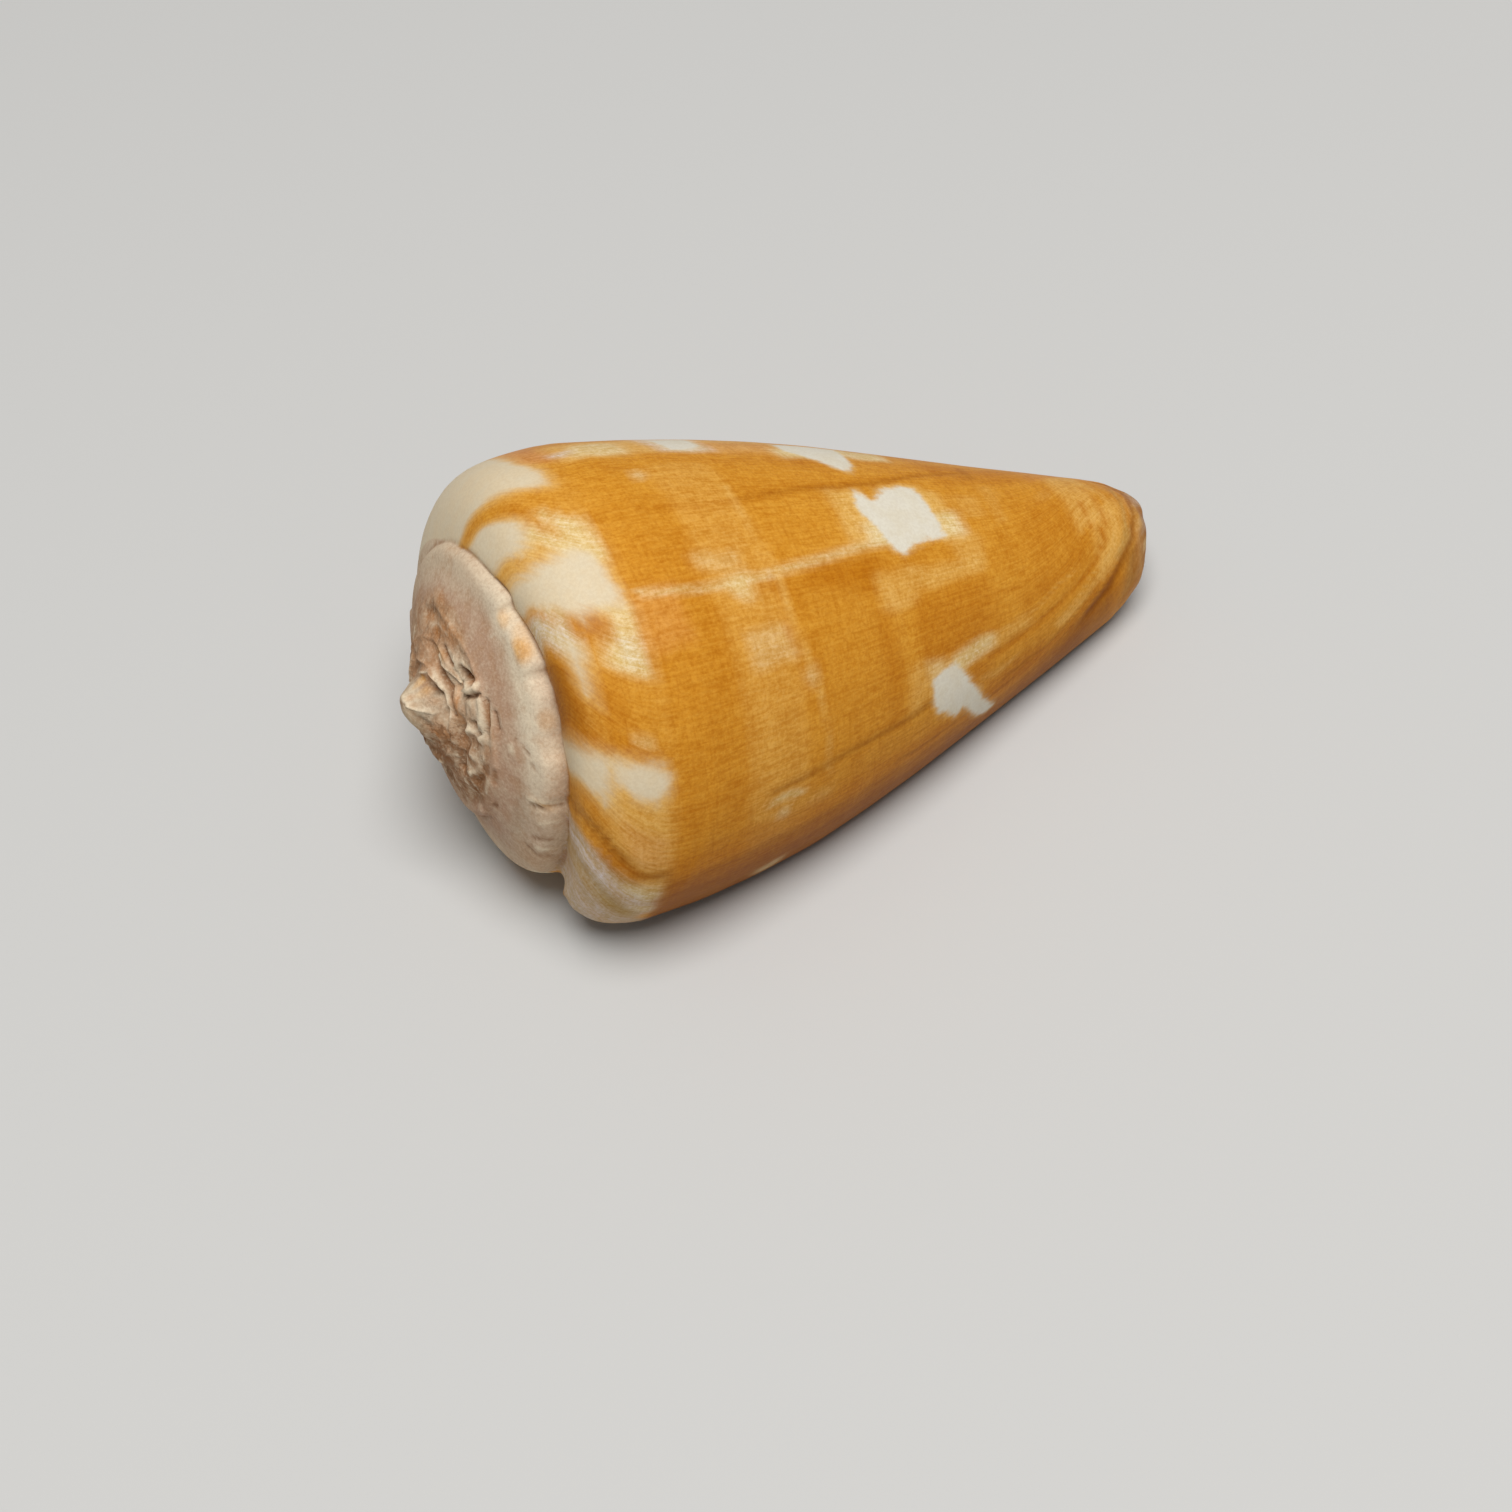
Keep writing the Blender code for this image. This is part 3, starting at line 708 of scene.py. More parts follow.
def depth_in_outline(x, y, outline, height):
    """How deep each point is inside an outline, in mm, and less than 0 outside. height is mm per degree."""
    nearest = np.full(len(x), 1e9)
    crossings = np.zeros(len(x), bool)
    for (x0, y0), (x1, y1) in zip(outline, outline[1:] + outline[:1]):
        edge_x, edge_y = x1 - x0, (y1 - y0) * height
        to_x, to_y = x - x0, (y - y0) * height
        share = np.clip((to_x * edge_x + to_y * edge_y) / (edge_x**2 + edge_y**2), 0.0, 1.0)
        nearest = np.minimum(nearest, np.hypot(to_x - share * edge_x, to_y - share * edge_y))
        if y1 != y0:
            crossings ^= ((y < y0) != (y < y1)) & (x < x0 + (y - y0) / (y1 - y0) * (x1 - x0))
    return np.where(crossings, nearest, -nearest)


white = np.full(count, -DEEPEST)
for outline in WHITE_MARKS:
    middle = sum(x for x, y in outline) / len(outline)
    height = math.radians(1.0) * max(LEAST_RADIUS, SIDE_RADIUS - MARK_TAPER * middle)
    white = np.maximum(white, depth_in_outline(point_across, point_growth, outline, height))
white = np.clip(white, -DEEPEST, DEEPEST)
print("points in white marks:", int((white > 0).sum()))

# %% [markdown]
# ## Painting the colours
#
# The orange of the side is not even. It is a plaid of lighter and darker bands, along the growth lines and
# across them, with pale edges round the white patches. Those bands are painted onto the points with a soft
# square brush: each stroke says where it begins and ends on the growth map, which colour it has and how
# strong it is. The finer lines come later, in the material. The brush is shaken a little by noise, so that
# no stroke has a ruled edge.

# %% The colours on the palette


def colour(red, green, blue):
    """A colour as a screen shows it, 0 to 255, as the linear values that a shader takes."""
    values = [c / 255.0 for c in (red, green, blue)]
    return tuple(v / 12.92 if v < 0.04045 else ((v + 0.055) / 1.055) ** 2.4 for v in values)


PALETTE = {
    "orange": colour(207, 141, 42),
    "dark": colour(186, 112, 16),
    "brown": colour(136, 74, 6),
    "pale": colour(224, 176, 92),
    "cream": colour(226, 203, 146),
    "white": colour(220, 213, 196),
    "beige": colour(216, 197, 164),
    "pink": colour(214, 146, 70),
    "rose": colour(206, 138, 80),
    "olive": colour(178, 146, 84),
    "grey": colour(198, 178, 150),
}
print("colours on the palette:", ", ".join(PALETTE))

# %% [markdown]
# Each stroke below stands for a band or patch that can be seen: first the wide, faint bands, then the orange
# hooks and beige spots by the shoulder, the pale frames round the white marks, the darker underside, which is
# partly the shell's own colour and partly painted shade, and the front end. The last whorl's hidden half gets
# bands of the same kinds, since nothing shows how they really run.

# %% Strokes on the side, as across from and to, growth from and to, colour and strength
SIDE_STROKES = [
    (-2, 3.6, -140, 260, "pale", 0.30),
    (3.6, 7.9, 96, 204, "dark", 0.22),
    (3.6, 8.4, -140, 40, "dark", 0.22),
    (7.9, 11.6, 84, 196, "pale", 0.26),
    (8.6, 12, -130, 60, "pale", 0.18),
    (11.4, 17.2, 126, 180, "dark", 0.10),
    (0.3, 3.3, 99.5, 113, "cream", 0.85),
    (-0.9, 1.5, 97, 105, "orange", 0.95),
    (0.3, 1.2, 97.5, 102.5, "dark", 0.55),
    (1.0, 3.4, 89, 98, "orange", 0.70),
    (0.4, 1.9, 103.5, 108, "orange", 0.75),
    (0.6, 1.3, 105.6, 108.8, "dark", 0.50),
    (-0.5, 1.0, 113, 118, "pale", 0.7),
    (1.6, 3.6, 124, 142, "cream", 0.80),
    (-0.8, 0.75, 131, 143.5, "beige", 0.90),
    (-0.8, 0.10, 137, 145.5, "beige", 0.85),
    (-1.0, -0.1, 134.4, 138.4, "orange", 0.85),
    (-1.0, -0.3, 134.8, 137.6, "dark", 0.40),
    (0.5, 1.5, 130.5, 138, "orange", 0.95),
    (1.1, 2.3, 126.5, 134.5, "orange", 0.95),
    (0.7, 1.5, 131.5, 137, "dark", 0.80),
    (1.1, 2.1, 127.8, 133.5, "dark", 0.75),
    (0.7, 3.5, 142, 160, "orange", 0.85),
    (0.7, 2.0, 146, 160, "dark", 0.45),
    (2.2, 2.9, 153.5, 157, "cream", 0.55),
    (2.2, 3.5, 131.2, 141, "cream", 0.50),
    (2.5, 3.3, 132.5, 139.5, "white", 0.35),
    (0.4, 1.3, 163.6, 168.6, "cream", 0.80),
    (-1.0, 0.2, 147, 172, "dark", 0.75),
    (-1.0, 0.0, 150, 166, "brown", 0.45),
    (0.0, 1.2, 161, 167, "dark", 0.75),
    (1.0, 3.2, 157.5, 161.5, "dark", 0.70),
    (0.4, 3.4, 171, 188, "pale", 0.45),
    (0.8, 3.3, 178.5, 188, "rose", 0.30),
    (-1.0, 0.2, 182, 190, "dark", 0.50),
    (-0.6, 3.2, 189.5, 192.5, "brown", 0.65),
    (-0.4, 1.6, 190, 197, "dark", 0.60),
    (0.1, 1.8, 192.8, 197.2, "brown", 0.35),
    (-1.8, 3.1, 197, 209, "grey", 0.85),
    (-1.8, 2.4, 206, 218, "grey", 0.85),
    (-1.8, 3.3, 215, 229, "grey", 0.80),
    (-1.8, 2.0, 225, 260, "grey", 0.85),
    (-0.8, -0.3, 200.8, 204, "white", 0.30),
    (-0.2, 0.3, 201.5, 206.5, "white", 0.30),
    (0.9, 3.0, 194, 200.5, "cream", 0.60),
    (1.8, 2.8, 203.5, 207, "cream", 0.45),
    (-1.2, -0.1, 220, 240, "white", 0.15),
    (-1.5, -0.45, 206.8, 214.5, "olive", 0.60),
    (-0.3, 2.0, 206, 212.0, "olive", 0.80),
    (0.2, 1.6, 208, 210.4, "olive", 0.60),
    (2.4, 4.4, 40, 76, "rose", 0.55),
    (3.6, 6.2, 121.5, 135.5, "pink", 0.45),
    (3.8, 8.0, 78, 112, "orange", 0.5),
    (7.0, 7.8, 87.3, 90.7, "cream", 0.50),
    (4.2, 17, 62, 77.5, "pale", 0.70),
    (5.2, 8.0, 66, 76, "cream", 0.70),
    (4.1, 5.3, 69.5, 73.5, "white", 0.60),
    (9.6, 12.8, 60, 77, "white", 0.55),
    (12.5, 16.6, 66, 78, "pink", 0.45),
    (16.1, 18.4, 74, 81, "cream", 0.85),
    (20.3, 23.2, 66, 79, "cream", 0.80),
    (15, 19, 81.5, 87, "dark", 0.35),
    (8.9, 10.3, 121.8, 128.4, "cream", 0.60),
    (7.5, 10.2, 115.5, 120, "cream", 0.32),
    (10.6, 13.6, 125.8, 129, "dark", 0.45),
    (13.4, 18.6, 123.6, 130, "dark", 0.70),
    (16.4, 17.7, 124, 135, "dark", 0.60),
    (9.0, 11.6, 136, 145, "cream", 0.32),
    (17.0, 19.2, 98.5, 119.5, "pale", 0.85),
    (18.4, 19.4, 112, 121, "cream", 0.75),
    (20.2, 23.4, 96, 99.5, "pale", 0.6),
    (23.0, 24.4, 99, 121.5, "pale", 0.90),
    (23.3, 24.8, 111, 121.5, "cream", 0.80),
    (23.5, 25.4, 121, 133, "pale", 0.50),
    (17.7, 20.2, 129.5, 141, "pale", 0.50),
    (20, 25.4, 130.6, 136.4, "pale", 0.60),
    (19.8, 25.4, 138, 161, "dark", 0.50),
    (16.9, 18.2, 139, 177, "dark", 0.55),
    (11.95, 12.65, 148, 152.5, "cream", 0.40),
    (11.35, 11.65, 124, 146, "dark", 0.40),
    (21.8, 25.2, 161, 167, "cream", 0.75),
    (25, 28, 162, 167, "pale", 0.40),
    (18.7, 20.4, 159.5, 173, "pale", 0.45),
    (20.0, 21.2, 160, 166, "cream", 0.50),
    (22.9, 25.0, 169, 178, "dark", 0.50),
    (24.0, 27.0, 176.5, 179, "pale", 0.40),
    (24.5, 29.5, 179, 192, "dark", 0.55),
    (9.1, 11.4, 178.2, 180.4, "cream", 0.65),
    (9.7, 10.5, 182.8, 186.2, "cream", 0.60),
    (11.8, 13.2, 182.8, 187.2, "pale", 0.55),
    # The next six strokes darken the underside: partly the shell's own colour, partly painted shade.
    (3.2, 36, 185, 260, "dark", 0.55),
    (36, 40, 190, 260, "dark", 0.25),
    (3.0, 24, 193, 260, "brown", 0.45),
    (24, 35, 195, 260, "brown", 0.40),
    (3.0, 25, 200, 260, "brown", 0.50),
    (25, 33, 203, 260, "brown", 0.40),
    (9.4, 11.2, 208.5, 214.5, "cream", 0.60),
    (15.8, 17.8, -116, -100, "pale", 0.60),
    (22.2, 24.4, -112, -98, "pale", 0.70),
    (17.0, 19.0, -70, -50, "pale", 0.60),
    (22.4, 24.2, -60, -42, "cream", 0.50),
    (16.5, 18.3, -20, 0, "pale", 0.65),
    (22.4, 24.5, -12, 4, "pale", 0.60),
    (17.5, 19.3, 26, 44, "pale", 0.50),
    (22.5, 24.3, 28, 46, "pale", 0.60),
    (5, 18, -128, -124.5, "dark", 0.45),
    (12, 24, -96, -92, "dark", 0.50),
    (4, 16, -74, -71.5, "dark", 0.40),
    (13, 26, -40, -35, "dark", 0.50),
    (6, 15, -28, -25.5, "dark", 0.35),
    (14, 24, 6, 10, "dark", 0.50),
    (5, 14, 22, 25, "dark", 0.40),
    (20, 30, 14, 18, "dark", 0.40),
    (4, 12, -104, -100, "pale", 0.40),
    (12, 19, -88, -84, "cream", 0.40),
    (7, 15, -52, -48, "pale", 0.45),
    (4, 11, -6, -2, "cream", 0.35),
    (12, 18, 48, 52, "pale", 0.45),
    (24, 33, -80, -76, "pale", 0.30),
    (25, 34, -24, -19, "pale", 0.30),
    (11.4, 11.9, -130, 40, "pale", 0.25),
    (13.6, 14.2, -100, 20, "dark", 0.25),
    (15.2, 15.6, -60, 50, "pale", 0.25),
    (25.2, 26.0, -130, 60, "dark", 0.25),
    (29.6, 30.4, -130, 60, "dark", 0.20),
    (24.8, 31, 76, 94, "dark", 0.40),
    (27.3, 27.9, 78, 90, "brown", 0.35),
    (25, 26.8, 102, 114, "pale", 0.30),
    (27.4, 28.2, 96, 118, "pale", 0.25),
    (30.2, 31.4, 112, 122, "dark", 0.35),
    (31.2, 32.4, 108, 116, "pale", 0.25),
    (32.9, 35.4, 98, 150, "pale", 0.55),
    (34.0, 37.0, 146, 190, "pale", 0.45),
    (29, 33.0, 120, 160, "dark", 0.22),
    (36.2, 38.4, 176, 230, "olive", 0.30),
    (31.5, 40.5, 60, 98, "rose", 0.25),
    (37.3, 41, -180, 300, "rose", 0.30),
    (37.6, 41, -180, 300, "olive", 0.22),
    (38.2, 41, -180, 300, "brown", 0.45),
    (37.8, 39.0, 100, 122, "brown", 0.35),
    (38.0, 39.4, 176, 200, "brown", 0.30),
    (36.4, 37.6, 196, 240, "brown", 0.30),
    (38.2, 39.8, 140, 164, "grey", 0.45),
    (38.0, 39.4, 178, 196, "grey", 0.35),
    (37.6, 38.3, 160, 186, "pale", 0.35),
    (38.3, 39.0, 204, 216, "cream", 0.50),
    (24.0, 30.0, 146.0, 147.4, "dark", 0.45),
    (27.5, 34.5, 152.0, 153.2, "dark", 0.45),
    (29.0, 36.0, 157.6, 158.8, "dark", 0.35),
    (25.5, 33.0, 184.5, 186.0, "brown", 0.40),
    (18.0, 27.0, 189.0, 190.4, "brown", 0.45),
    (29.0, 36.0, 192.5, 194.0, "brown", 0.45),
    (24.0, 32.0, 160.2, 161.4, "pale", 0.35),
    (30.0, 36.0, 176.4, 178.0, "pale", 0.40),
]
print("strokes on the side:", len(SIDE_STROKES))

# %% [markdown]
# Later strokes cover earlier ones, as paint does. A stroke's edge is soft, about half a millimetre wide. The
# thin lines go on last, and the whites get their own colour, which turns to beige near the shoulder.

# %% Paint the side
EDGE_ACROSS, EDGE_GROWTH = 0.50, 2.2  # how soft the brush is, in mm and in degrees
SHAKE_ACROSS, SHAKE_GROWTH = 0.30, 2.0  # how far it is shaken, in mm and in degrees
SHAKE_SIZE = 1.6  # how wide the waves of that shaking are, in mm
AGED_START, AGED_FADE = 4.2, 1.2  # the whites turn beige from here towards the shoulder, as across


def soft_band(value, first, last, softness):
    """1 from first to last and 0 outside, with soft ends."""
    softness = min(softness, 0.45 * (last - first))
    return smooth(0.5 + (value - first) / softness / 2.0) * smooth(0.5 + (last - value) / softness / 2.0)


def lay_on(paint, cover, fresh):
    """One more coat: where cover is 1, only the fresh colour shows."""
    paint += cover[:, None] * (np.array(fresh) - paint)


places = [Vector(p) / (SHAKE_SIZE * MM) for p in points]
shake = np.array([[noise.noise(place), noise.noise(place + Vector((9, 4, 7)))] for place in places])
brush_across = point_across + SHAKE_ACROSS * shake[:, 0]
brush_growth = point_growth + SHAKE_GROWTH * shake[:, 1]
side_paint = np.tile(PALETTE["orange"], (count, 1))
for left, right, first, last, name, strength in SIDE_STROKES:
    cover = soft_band(brush_across, left, right, EDGE_ACROSS) * soft_band(brush_growth, first, last, EDGE_GROWTH)
    lay_on(side_paint, strength * cover, PALETTE[name])
for cover, (_, _, name, strength, _) in zip(line_covers, THIN_LINES):
    lay_on(side_paint, strength * cover, PALETTE[name])
aged = smooth((AGED_START - point_across) / AGED_FADE)[:, None]
white_paint = (1.0 - aged) * np.array(PALETTE["white"]) + aged * np.array(PALETTE["beige"])
print("the side's mean colour:", side_paint.mean(0).round(3))

# %% [markdown]
# The spire is bleached: cream on the rim, greyish pink inside it, brown in the pits, with a few orange
# stains that soaked in. Its strokes are round dabs, placed by angle and radius.

# %% Dabs on the spire, as angle, radius, half length along the whorl, half width, colour and strength
SPIRE_PALETTE = {
    "cream": colour(221, 206, 180),
    "chalk": colour(230, 213, 184),
    "light": colour(212, 192, 164),
    "bone": colour(198, 178, 148),
    "pink": colour(186, 152, 126),
    "mauve": colour(176, 146, 126),
    "tan": colour(176, 134, 96),
    "brown": colour(138, 96, 62),
    "deep": colour(104, 62, 34),
    "rust": colour(196, 126, 62),
    "amber": colour(216, 160, 84),
    "grey": colour(150, 138, 118),
}
SPIRE_DABS = [
    (135, 8.4, 6.5, 0.75, "cream", 0.80),
    (140, 8.2, 2.6, 0.55, "chalk", 0.45),
    (75, 6.9, 3.0, 0.80, "light", 0.55),
    (50, 6.6, 2.0, 0.90, "light", 0.50),
    (195, 7.6, 2.6, 0.60, "grey", 0.25),
    (208, 8.0, 1.2, 0.50, "light", 0.50),
    (190, 8.7, 0.8, 0.22, "tan", 0.55),
    (186, 8.3, 0.5, 0.20, "tan", 0.50),
    (110, 0.9, 0.22, 0.35, "rust", 0.55),
    (135, 1.1, 0.18, 0.35, "tan", 0.70),
    (95, 1.5, 0.25, 0.35, "brown", 0.45),
    (165, 1.0, 0.30, 0.20, "deep", 0.40),
    (160, 1.9, 0.35, 0.25, "rust", 0.55),
    (165, 8.3, 3.0, 0.80, "cream", 0.45),
    (152, 7.7, 1.6, 0.55, "cream", 0.60),
    (105, 8.1, 2.4, 0.60, "cream", 0.50),
    (85, 7.6, 2.5, 0.60, "light", 0.55),
    (60, 7.4, 3.0, 0.70, "light", 0.70),
    (30, 7.2, 3.5, 1.20, "light", 0.60),
    (200, 8.6, 2.0, 0.90, "mauve", 0.35),
    (214, 8.8, 1.6, 1.00, "tan", 0.45),
    (225, 7.0, 2.0, 1.60, "mauve", 0.60),
    (128, 6.4, 3.6, 0.60, "pink", 0.60),
    (125, 8.62, 0.75, 0.30, "amber", 0.85),
    (113, 8.35, 0.55, 0.25, "amber", 0.45),
    (119, 8.75, 0.50, 0.25, "amber", 0.30),
    (149, 9.0, 0.60, 0.20, "amber", 0.25),
    (181, 8.8, 0.35, 0.45, "amber", 0.55),
    (75, 5.0, 2.4, 0.80, "tan", 0.75),
    (72, 4.4, 1.8, 0.60, "tan", 0.60),
    (61, 4.96, 0.55, 0.35, "brown", 0.65),
    (76, 4.05, 0.60, 0.35, "rust", 0.75),
    (52, 4.5, 0.60, 0.40, "brown", 0.50),
    (95, 4.9, 0.9, 0.45, "rust", 0.50),
    (103, 5.2, 0.8, 0.40, "tan", 0.60),
    (92, 3.4, 0.8, 0.35, "amber", 0.45),
    (121, 4.48, 0.50, 0.32, "deep", 0.85),
    (124, 4.75, 0.45, 0.25, "rust", 0.60),
    (114, 3.35, 1.0, 0.28, "cream", 0.70),
    (133, 4.4, 0.25, 0.90, "cream", 0.75),
    (148, 5.05, 1.1, 0.20, "cream", 0.70),
    (145, 3.3, 1.2, 0.30, "rust", 0.60),
    (160, 3.1, 0.9, 0.35, "tan", 0.60),
    (167, 3.6, 0.45, 0.40, "cream", 0.80),
    (158, 4.70, 0.32, 0.24, "deep", 0.85),
    (142, 4.4, 0.6, 0.40, "light", 0.55),
    (150, 5.55, 0.9, 0.20, "tan", 0.60),
    (163, 5.4, 0.4, 0.40, "light", 0.60),
    (119, 2.15, 0.34, 0.26, "grey", 0.85),
    (85, 1.55, 0.28, 0.45, "amber", 0.80),
    (112, 1.55, 0.28, 0.40, "amber", 0.55),
    (100, 1.1, 1.1, 0.55, "cream", 0.40),
    (110, 0.3, 0.6, 0.50, "chalk", 0.60),
    (150, 2.0, 0.5, 0.40, "grey", 0.45),
    (68, 5.6, 1.0, 0.35, "rust", 0.35),
    (58, 4.3, 0.7, 0.35, "rust", 0.45),
    (84, 4.6, 0.5, 0.30, "rust", 0.50),
    (88, 5.6, 0.8, 0.30, "tan", 0.60),
    (172, 1.3, 0.50, 0.40, "grey", 0.65),
    (148, 1.5, 0.30, 0.45, "cream", 0.60),
    (203, 1.9, 0.60, 0.35, "brown", 0.75),
    (185, 2.2, 0.60, 0.40, "rust", 0.45),
    (182, 2.9, 0.8, 0.40, "brown", 0.60),
    (205, 3.6, 0.8, 0.50, "brown", 0.65),
    (212, 2.8, 0.8, 0.50, "brown", 0.60),
    (183, 4.2, 0.35, 0.35, "light", 0.60),
    (179, 4.8, 0.35, 0.30, "light", 0.50),
    (193, 5.0, 0.55, 0.35, "brown", 0.60),
    (209, 4.6, 0.55, 0.45, "brown", 0.60),
    (196, 4.3, 0.35, 0.30, "light", 0.40),
    (183, 5.8, 0.35, 0.25, "brown", 0.45),
    (214, 5.3, 0.60, 0.40, "brown", 0.50),
    (205, 6.17, 0.25, 0.16, "deep", 0.55),
    (157, 7.06, 0.16, 0.12, "brown", 0.55),
    (176, 7.14, 0.16, 0.14, "brown", 0.45),
    (115, 7.35, 0.16, 0.28, "cream", 0.60),
    (162, 6.8, 0.35, 0.22, "light", 0.70),
    (166, 7.85, 0.20, 0.30, "cream", 0.40),
]
print("dabs on the spire:", len(SPIRE_DABS))

# %% [markdown]
# First come the wide zones: pale towards the rim, tan where the surface is broken, paler on the upper crags,
# brown on the lower ones and bone on the nipple. Then come the dabs, shaken like the strokes on the side.

# %% Paint the spire
TAN_START = 5.9  # the tan zone lies inside this radius
DAB_SHAKE_ROUND, DAB_SHAKE_OUT = 0.12, 0.10  # in mm
spire_paint = np.tile(SPIRE_PALETTE["pink"], (count, 1))
upper_crags = smooth((angle - 98.0) / 10.0) * smooth((172.0 - angle) / 10.0)
lower_crags = smooth((angle - 172.0) / 25.0)
ZONES = [
    (0.65 * smooth((radius - 6.6) / 1.6), "light"),
    (0.70 * smooth((TAN_START + 0.5 * shake[:, 0] - radius) / 0.9), "tan"),
    (0.45 * upper_crags * smooth((5.6 - radius) / 0.8), "light"),
    (0.45 * lower_crags * smooth((6.6 - radius) / 1.5), "brown"),
    (0.90 * smooth((1.7 - radius) / 0.6), "bone"),
]
for cover, name in ZONES:
    lay_on(spire_paint, cover, SPIRE_PALETTE[name])
for dab_angle, dab_radius, half_length, half_width, name, strength in SPIRE_DABS:
    degrees_away = (angle - dab_angle + 180.0) % 360.0 - 180.0
    sideways = degrees_away * math.radians(1.0) * dab_radius + DAB_SHAKE_ROUND * shake[:, 0]
    outward = radius - dab_radius + DAB_SHAKE_OUT * shake[:, 1]
    distance = np.hypot(sideways / half_length, outward / half_width)
    lay_on(spire_paint, strength * smooth(1.35 - distance), SPIRE_PALETTE[name])
print("the spire's mean colour:", spire_paint[spire_side].mean(0).round(3))

# %% [markdown]
# Dirt settles in the hollows, and edges are rubbed pale. The hollows are also darkened as painted shade, and
# the edges lightened as a painted highlight. The relief itself says where: a point that lies lower than the
# mean of its surroundings is in a hollow. An ambient occlusion node would find the hollows too, but it needs
# many more rays in each render.

# %% Dirt and painted shade in the hollows, chalk and painted highlight on the edges
CAVITY_ROUNDS = 12  # how far a hollow is compared with what lies round it, in points
around = relief
for _ in range(CAVITY_ROUNDS):
    around = neighbour_mean(around)
cavity = around - relief
# Brown and deep brown in the hollows are dirt and painted shade; chalk on the edges is wear and a painted
# highlight.
lay_on(spire_paint, 0.65 * smooth(cavity / 0.08 - 0.15), SPIRE_PALETTE["brown"])
lay_on(spire_paint, 0.75 * smooth(cavity / 0.13 - 0.50), SPIRE_PALETTE["deep"])
lay_on(spire_paint, 0.80 * smooth(-cavity / 0.07 - 0.15), SPIRE_PALETTE["chalk"])
print("deepest hollow %.2f mm, highest edge %.2f mm" % (cavity.max(), -cavity.min()))

# %% [markdown]
# The bleached colours of the spire don't stop at the suture everywhere: where the last whorl begins, its own
# ramp is bleached too, and beside the lip it is not. The worn part, where small pits show, is the spire
# inside the rim, and more so on its lower half.

# %% Where the bleached part and the worn part end
RIM_END_TURNS = [-1.0, -0.9, -0.8, -0.7, -0.6, -0.5, -0.46, -0.3, 0.0]
RIM_END_BEYOND = [3.3, 3.1, 2.8, 2.2, 1.4, 0.4, 0.0, 0.0, 0.0]  # bleached this far past the suture, in mm
BLEACHED_LIMIT = 9.0  # nothing further along the axis than this, in mm, counts as bleached
WORN_START, WORN_END = 6.1, 1.1  # the worn part lies between these radii, in mm
bleached = np.interp(turn, RIM_END_TURNS, RIM_END_BEYOND) - beyond_suture - 3.0 * smooth((along - 5.6) / 2.6)
bleached = np.where(along < BLEACHED_LIMIT, bleached, -5.0)
worn = spire_side * smooth((WORN_START + 0.5 * shake[:, 1] - radius) / 1.2) * smooth((radius - WORN_END) / 0.5)
worn *= 0.35 + 0.65 * smooth((angle - 150.0) / 25.0)
print("bleached points: %d, worn points: %d" % ((bleached > 0.0).sum(), (worn > 0.5).sum()))

# %% [markdown]
# The material can't look into these tables, but it can read attributes of the mesh. So every value that it
# needs is stored there under its own name, one number or one colour for each point.

# %% Keep what was found as attributes


def keep(name, values):
    kind = "FLOAT_COLOR" if values.ndim == 2 else "FLOAT"
    attribute = mesh.attributes.new(name, kind, "POINT")
    if kind == "FLOAT":
        attribute.data.foreach_set("value", np.asarray(values, np.float32))
    else:
        filled = np.concatenate([values, np.ones((len(values), 1))], 1)
        attribute.data.foreach_set("color", np.asarray(filled, np.float32).ravel())


keep("white", white)
keep("suture", beyond_suture)
keep("bleached", bleached)
keep("inside", inside)
keep("side_paint", side_paint)
keep("white_paint", white_paint)
keep("worn", worn)
keep("spire_paint", spire_paint)
print("attributes:", [attribute.name for attribute in mesh.attributes])

# %% [markdown]
# ## The shell's finish
#
# A cone shell is polished lime: satin, with a fine grain, hair-thin growth lines and even finer threads that
# run round it. The lines are noise that is stretched on the growth map, long one way and short the other.
# The same lines tint the colour and press into the surface as bump, which is what makes them look grown and
# not printed. The nodes could be wired one by one, as in the editor. There are many of a few kinds, so each
# kind gets a small helper first.

# %% The material, and helpers that add and join nodes
shell_finish = bpy.data.materials.new("shell_finish")
shell_finish.use_nodes = True
nodes = shell_finish.node_tree.nodes
links = shell_finish.node_tree.links
shader = nodes["Principled BSDF"]
shader.inputs["Specular IOR Level"].default_value = 0.04


def plug(value, socket):
    if isinstance(value, (int, float, tuple)):
        socket.default_value = value
    else:
        links.new(value, socket)


def attribute_value(name, output="Fac"):
    node = nodes.new("ShaderNodeAttribute")
    node.attribute_name = name
    return node.outputs[output]


def worked(operation, first, second):
    node = nodes.new("ShaderNodeMath")
    node.operation = operation
    plug(first, node.inputs[0])
    plug(second, node.inputs[1])
    return node.outputs[0]


print("material begun:", shell_finish.name)

# %% [markdown]
# Two more helpers are like the Mix Color and Map Range nodes. The first lays one colour over another, and the
# second turns a stretch of a value into a share that rises softly from one end to the other.

# %% Helpers that mix colours and spread a value


def mixed(share, first, second, blend="MIX"):
    node = nodes.new("ShaderNodeMix")
    node.data_type = "RGBA"
    node.blend_type = blend
    plug(share, node.inputs["Factor"])
    plug(first if not isinstance(first, tuple) else first + (1.0,), node.inputs[6])
    plug(second if not isinstance(second, tuple) else second + (1.0,), node.inputs[7])
    return node.outputs[2]


def spread(value, low, high, out_low=0.0, out_high=1.0):
    node = nodes.new("ShaderNodeMapRange")
    node.interpolation_type = "SMOOTHSTEP"
    plug(value, node.inputs["Value"])
    node.inputs["From Min"].default_value = low
    node.inputs["From Max"].default_value = high
    node.inputs["To Min"].default_value = out_low
    node.inputs["To Max"].default_value = out_high
    return node.outputs["Result"]


print("helpers ready, nodes so far:", len(nodes))

# %% [markdown]
# Noise comes in two kinds. The one for lines and bands lies on the growth map and is stretched there. The
# other fills space evenly, for grain and stains that follow nothing. Sizes are in millimetres, because a
# grain is easier to judge that way than by a scale.

